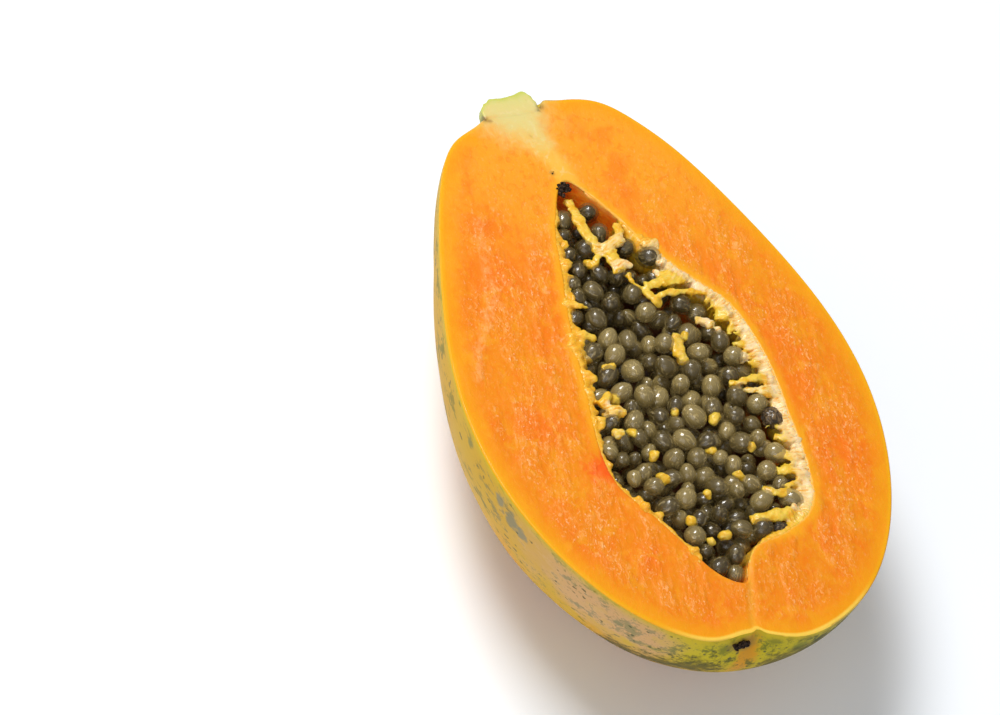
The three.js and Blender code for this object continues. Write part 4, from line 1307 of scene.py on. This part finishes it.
def lump_forms(draw):
    """The lumps, each of three rounded forms that cross, and the pellets."""
    for x, y, z, radius in LUMPS:
        for _ in range(3):
            lean = Vector((draw.random() - 0.5, draw.random() - 0.5, -0.25)).normalized()
            middle = Vector((x, y, z - 0.65 * radius)) + lean * 0.5 * radius
            long, thick = radius * (0.7 + 0.6 * draw.random()), radius * (0.6 + 0.4 * draw.random())
            path = [middle + lean * long * share for share in (-1, -0.3, 0.5, 1)]
            yield tube_form(path, [thick * share for share in (0.5, 1, 0.9, 0.4)], 9)
    for x, y, z, radius in PELLETS:
        lean = Vector((draw.random() - 0.3, draw.random() - 0.5, 0.2)).normalized()
        middle = Vector((x, y, z - 0.5 * radius))
        path = [middle + lean * radius * share for share in (-1, -0.4, 0.5, 1)]
        yield tube_form(path, [radius * share for share in (0.4, 0.75, 0.7, 0.35)], 9)


def grown_together(points, faces):
    """Forms that cross each other grown into one soft mass: its points in millimetres, and its faces."""
    mesh = bpy.data.meshes.new("pulp_rough")
    mesh.from_pydata((np.array(points) * MM).tolist(), [], faces)
    lump = bpy.data.objects.new("pulp_rough", mesh)
    bpy.context.collection.objects.link(lump)
    grown = lump.modifiers.new("grown_together", "REMESH")
    grown.mode = "VOXEL"
    grown.voxel_size = PULP_GRAIN * MM
    soft = lump.modifiers.new("soft", "SMOOTH")
    soft.factor = 0.5
    soft.iterations = 3
    ready = lump.evaluated_get(bpy.context.evaluated_depsgraph_get()).to_mesh()
    spots = np.array([vertex.co for vertex in ready.vertices]) / MM
    shapes = [list(face.vertices) for face in ready.polygons]
    bpy.data.objects.remove(lump)
    return spots, shapes


def pulp_cream(spots, at_band, rightness):
    """How pale each spot of the pulp is: the right band, the paler strands and the pellets."""
    cream = at_band * rightness * 0.95 * np.clip((spots[:, 1] + 60) / 12, 0.3, 1)
    for strand, start_width, end_width, _, paleness in STRANDS:
        line = np.array(smooth_path(strand, 4))
        near = np.linalg.norm(spots[:, None, :] - line[None], axis=2).min(1) / max(start_width, end_width)
        cream = np.maximum(cream, paleness * np.clip(2.4 - 1.2 * near, 0, 1))
    for x, y, z, radius in PELLETS:
        near = np.linalg.norm(spots - np.array([x, y, z - 0.5 * radius]), axis=1)
        cream = np.maximum(cream, 1.3 * np.clip(1.7 - near / radius, 0, 1))
    return cream


def make_pulp():
    """The lining with its band on the cut face, its lobes, and the strands, grown into one lumpy mass."""
    draw = random.Random(37)
    outline = closed_curve(CAVITY_OUTLINE, 420)
    ahead = np.roll(outline, -4, axis=0) - np.roll(outline, 4, axis=0)
    inward = np.column_stack([ahead[:, 1], -ahead[:, 0]])
    inward /= np.linalg.norm(inward, axis=1)[:, None]
    width = np.array([band_at(x, y) for x, y in outline])
    width *= 1 + 0.8 * rough(np.column_stack([outline, np.zeros(len(outline))]), 2.2, 3)
    points, faces = lining_form(outline, inward, width)
    for forms in (lobe_forms(draw, outline, inward, width), strand_forms(), lump_forms(draw)):
        for form, form_faces in forms:
            join(points, faces, form, form_faces)
    spots, shapes = grown_together(points, faces)

    around, way_in = outline_ways(spots)
    fibre = np.column_stack([around, way_in, spots[:, 2]])
    band = np.array([band_at(x, y) for x, y in spots[:, :2]])
    at_band = np.clip(1.7 - way_in / np.maximum(band, 0.8), 0, 1) * np.clip(1 + (spots[:, 2] + 1.0) / 5, 0, 1)
    ridges = rough(fibre * np.array([1.5, 0.22, 0.5]), 1.0, 2)
    spots[:, 2] += 0.6 * ridges * at_band * np.clip(band / 3, 0, 1)
    crumple = np.column_stack([rough(spots + offset, 1.3, 3) for offset in (0.0, 31.0, 67.0)])
    spots += 0.28 * crumple * (1 - 0.5 * at_band)[:, None]
    piece = make_piece("pulp_lining", spots, shapes, "pulp", "pulp", [pulp_material()])
    rightness = np.clip((band - 1.4) / 1.2, 0, 1) * (spots[:, 0] > middle_line(spots[:, 1]))
    give_attribute(piece, "cream", pulp_cream(spots, at_band, rightness))
    give_attribute(piece, "leftness", (1 - rightness) * np.clip(1 - (way_in - 1) / 3.5, 0, 1))
    give_attribute(piece, "fibre", fibre)


def stub_rings():
    """The radius and the place along the fruit of each ring of the stub."""
    rings = []
    for (radius, y), (next_radius, next_y) in zip(STUB_PROFILE, STUB_PROFILE[1:]):
        for step in range(STUB_STEPS):
            rings.append((radius + (next_radius - radius) * step / STUB_STEPS,
                          y + (next_y - y) * step / STUB_STEPS))
    return rings + [STUB_PROFILE[-1], (1.0, STUB_TOP)]


def stub_section(radius):
    """A ring's places across and up: round the ribbed underside, and back across the cut face."""
    spots = []
    for side in range(STUB_SIDES + 1):
        turn = math.pi * side / STUB_SIDES
        ribs = 1 + 0.03 * math.cos(9 * turn)
        spots.append((radius * ribs * math.cos(turn), -radius * ribs * math.sin(turn) - BEVEL))
    return spots + [(radius * (-0.97 + 1.94 * step / (STUB_ACROSS - 1)), 0.0) for step in range(STUB_ACROSS)]


def make_stub(flesh):
    """The stub of the stem, lobed and cut level with the fruit; its cut face has the flesh's material."""
    points, edges = [], []
    uneven_from, uneven_over = STUB_UNEVEN
    for radius, y in stub_rings():
        risen = min(1, max(0, (y - uneven_from) / uneven_over))
        for x, z in stub_section(radius):
            wobble = noise.fractal(Vector((x, y, 0.4 * z)) / 2.6, 1.0, 2.0, 3)
            across = STUB_MIDDLE + x
            lift = sum(rise * math.exp(-(((across - place) / half) ** 2)) for place, half, rise in STUB_LOBES)
            up = y + STUB_TILT * x + risen * (lift * max(0, 1 + z / 9) + 0.3 * wobble)
            under = STUB_SUNK * min(1, max(0, (85.6 - up) / 4)) - 0.02
            points.append((across + 0.05 * x * wobble, up, z - under))
            edges.append(risen * math.exp(-min(radius - abs(x), max(0, STUB_TOP - y)) / 1.2))
    count = STUB_SIDES + 1 + STUB_ACROSS
    rings = [list(range(start, start + count)) for start in range(0, len(points), count)]
    faces = [face for near, far in zip(rings, rings[1:]) for face in strip(near, far)]
    row = [1 if STUB_SIDES < side < count - 1 else 0 for side in range(count)]
    faces += [rings[0][::-1], rings[-1]]
    piece = make_piece("stem_stub_grown", points, faces, "stem_stub", "stem", [stub_material(), flesh],
                       row * (len(rings) - 1) + [0, 0])
    for name in ("from_rim", "from_cavity"):
        give_attribute(piece, name, [FAR] * len(points))
    give_attribute(piece, "stub_edge", edges)
    spots = np.array(points)
    give_stalk(piece, spots, np.clip((spots[:, 1] - 83.5) / 2.5, 0, 1))


# Dark dried bits: name, x, y, z, half sizes across, along and up, crumbs, and the node they are part of
DARK_BITS = (
    ("dried_tuft", -0.6, 58.2, -0.1, 1.8, 1.8, 0.7, 46, "pulp"),
    ("dried_speck", -1.6, 63.7, 0.0, 0.45, 0.5, 0.1, 5, "fruit_half"),
    ("dried_flake", 24.0, -43.5, -1.3, 4.6, 0.9, 0.5, 30, "pulp"),
    ("blossom_scar", -9.9, -85.1, -4.0, 2.1, 0.35, 1.2, 60, "fruit_half"),
    ("shrivelled_seed", 27.0, -23.5, -1.4, 2.8, 3.1, 2.4, 0, "seeds"),
    ("shrivelled_seed_low", 14.0, -56.0, -1.8, 2.2, 1.8, 1.8, 0, "seeds"),
)


def crumb_forms(draw, sizes, crumbs):
    """Small uneven crumbs, scattered over a place of the given half sizes."""
    unit, unit_faces = ball(12, 8)
    across = sizes[0]
    for _ in range(crumbs):
        spot = np.array([draw.gauss(0, 0.42) for _ in range(3)]) * sizes
        size = (0.16 + 0.2 * draw.random()) * across if across < 3 else 0.4 + 0.35 * draw.random()
        form = unit * np.array([size, size * (0.6 + 0.8 * draw.random()), size * 0.8])
        form = form * (1 + 0.3 * rough(form + draw.random() * 50, 0.5, 3))[:, None]
        yield form + spot, unit_faces


def shrivelled_form(draw, sizes):
    """A seed that has dried up and wrinkled. It passes over the draw that gives a crumb its size."""
    draw.random()
    unit, unit_faces = ball(64, 44)
    form = unit * sizes
    return form * (1 + 0.14 * rough(form + draw.random() * 50, 1.2, 3))[:, None], unit_faces


def make_dark_bits():
    """Dried crumbs of tissue, and two seeds that have dried up and wrinkled."""
    draw = random.Random(5)
    slots = {"pulp": "pulp", "seeds": "seeds", "fruit_half": "flesh_and_skin"}
    dried, shrivelled = dry_material(), shrivelled_material()
    for name, x, y, z, across, along, up, crumbs, node in DARK_BITS:
        points, faces = [], []
        sizes = np.array([across, along, up])
        forms = crumb_forms(draw, sizes, crumbs) if crumbs else [shrivelled_form(draw, sizes)]
        for form, form_faces in forms:
            join(points, faces, (form + np.array([x, y, z])).tolist(), form_faces)
        make_piece(name, points, faces, node, slots[node], [dried if crumbs else shrivelled])


def make_room(middle):
    """A plain pale floor and soft studio light."""
    bpy.ops.mesh.primitive_plane_add(size=FLOOR_SIDE, location=(0, 0, -0.0002))
    floor = bpy.context.object
    floor.name = "floor"
    floor.data.materials.append(Finish("pale_floor", Base_Color=(0.92, 0.955, 1.0, 1), Roughness=0.55).material)
    world = bpy.data.worlds.new("studio")
    bpy.context.scene.world = world
    world.use_nodes = True
    background = world.node_tree.nodes["Background"]
    background.inputs["Color"].default_value = ROOM_LIGHT
    background.inputs["Strength"].default_value = ROOM_STRENGTH
    for name, place, sides, power in LAMPS:
        light = bpy.data.lights.new(name, "AREA")
        light.shape = "RECTANGLE"
        light.size, light.size_y = sides
        light.energy = power
        lamp = bpy.data.objects.new(name, light)
        lamp.location = middle + Vector(place)
        lamp.rotation_euler = (middle - lamp.location).to_track_quat("-Z", "Y").to_euler()
        bpy.context.collection.objects.link(lamp)


def make_camera():
    place = Vector(placed([CAMERA_PLACE])[0])
    aim = Vector(placed([CAMERA_AIM])[0])
    back = (place - aim).normalized()
    right = Vector(CAMERA_UP).cross(back).normalized()
    up = back.cross(right)
    camera = bpy.data.objects.new("camera", bpy.data.cameras.new("camera"))
    camera.data.lens = CAMERA_LENS
    camera.data.sensor_width = 36
    camera.data.clip_end = 20
    turn = Matrix((right, up, back)).transposed().to_4x4()
    camera.matrix_world = Matrix.Translation(place) @ turn
    bpy.context.collection.objects.link(camera)
    bpy.context.scene.camera = camera


make_camera()
make_room(Vector(SHIFT))
flesh = cut_flesh_material()
make_fruit(flesh)
heap = Heap(7)
heap.fill()
make_seeds(heap)
make_pulp()
make_stub(flesh)
make_dark_bits()
bpy.context.scene.view_settings.view_transform = "Standard"
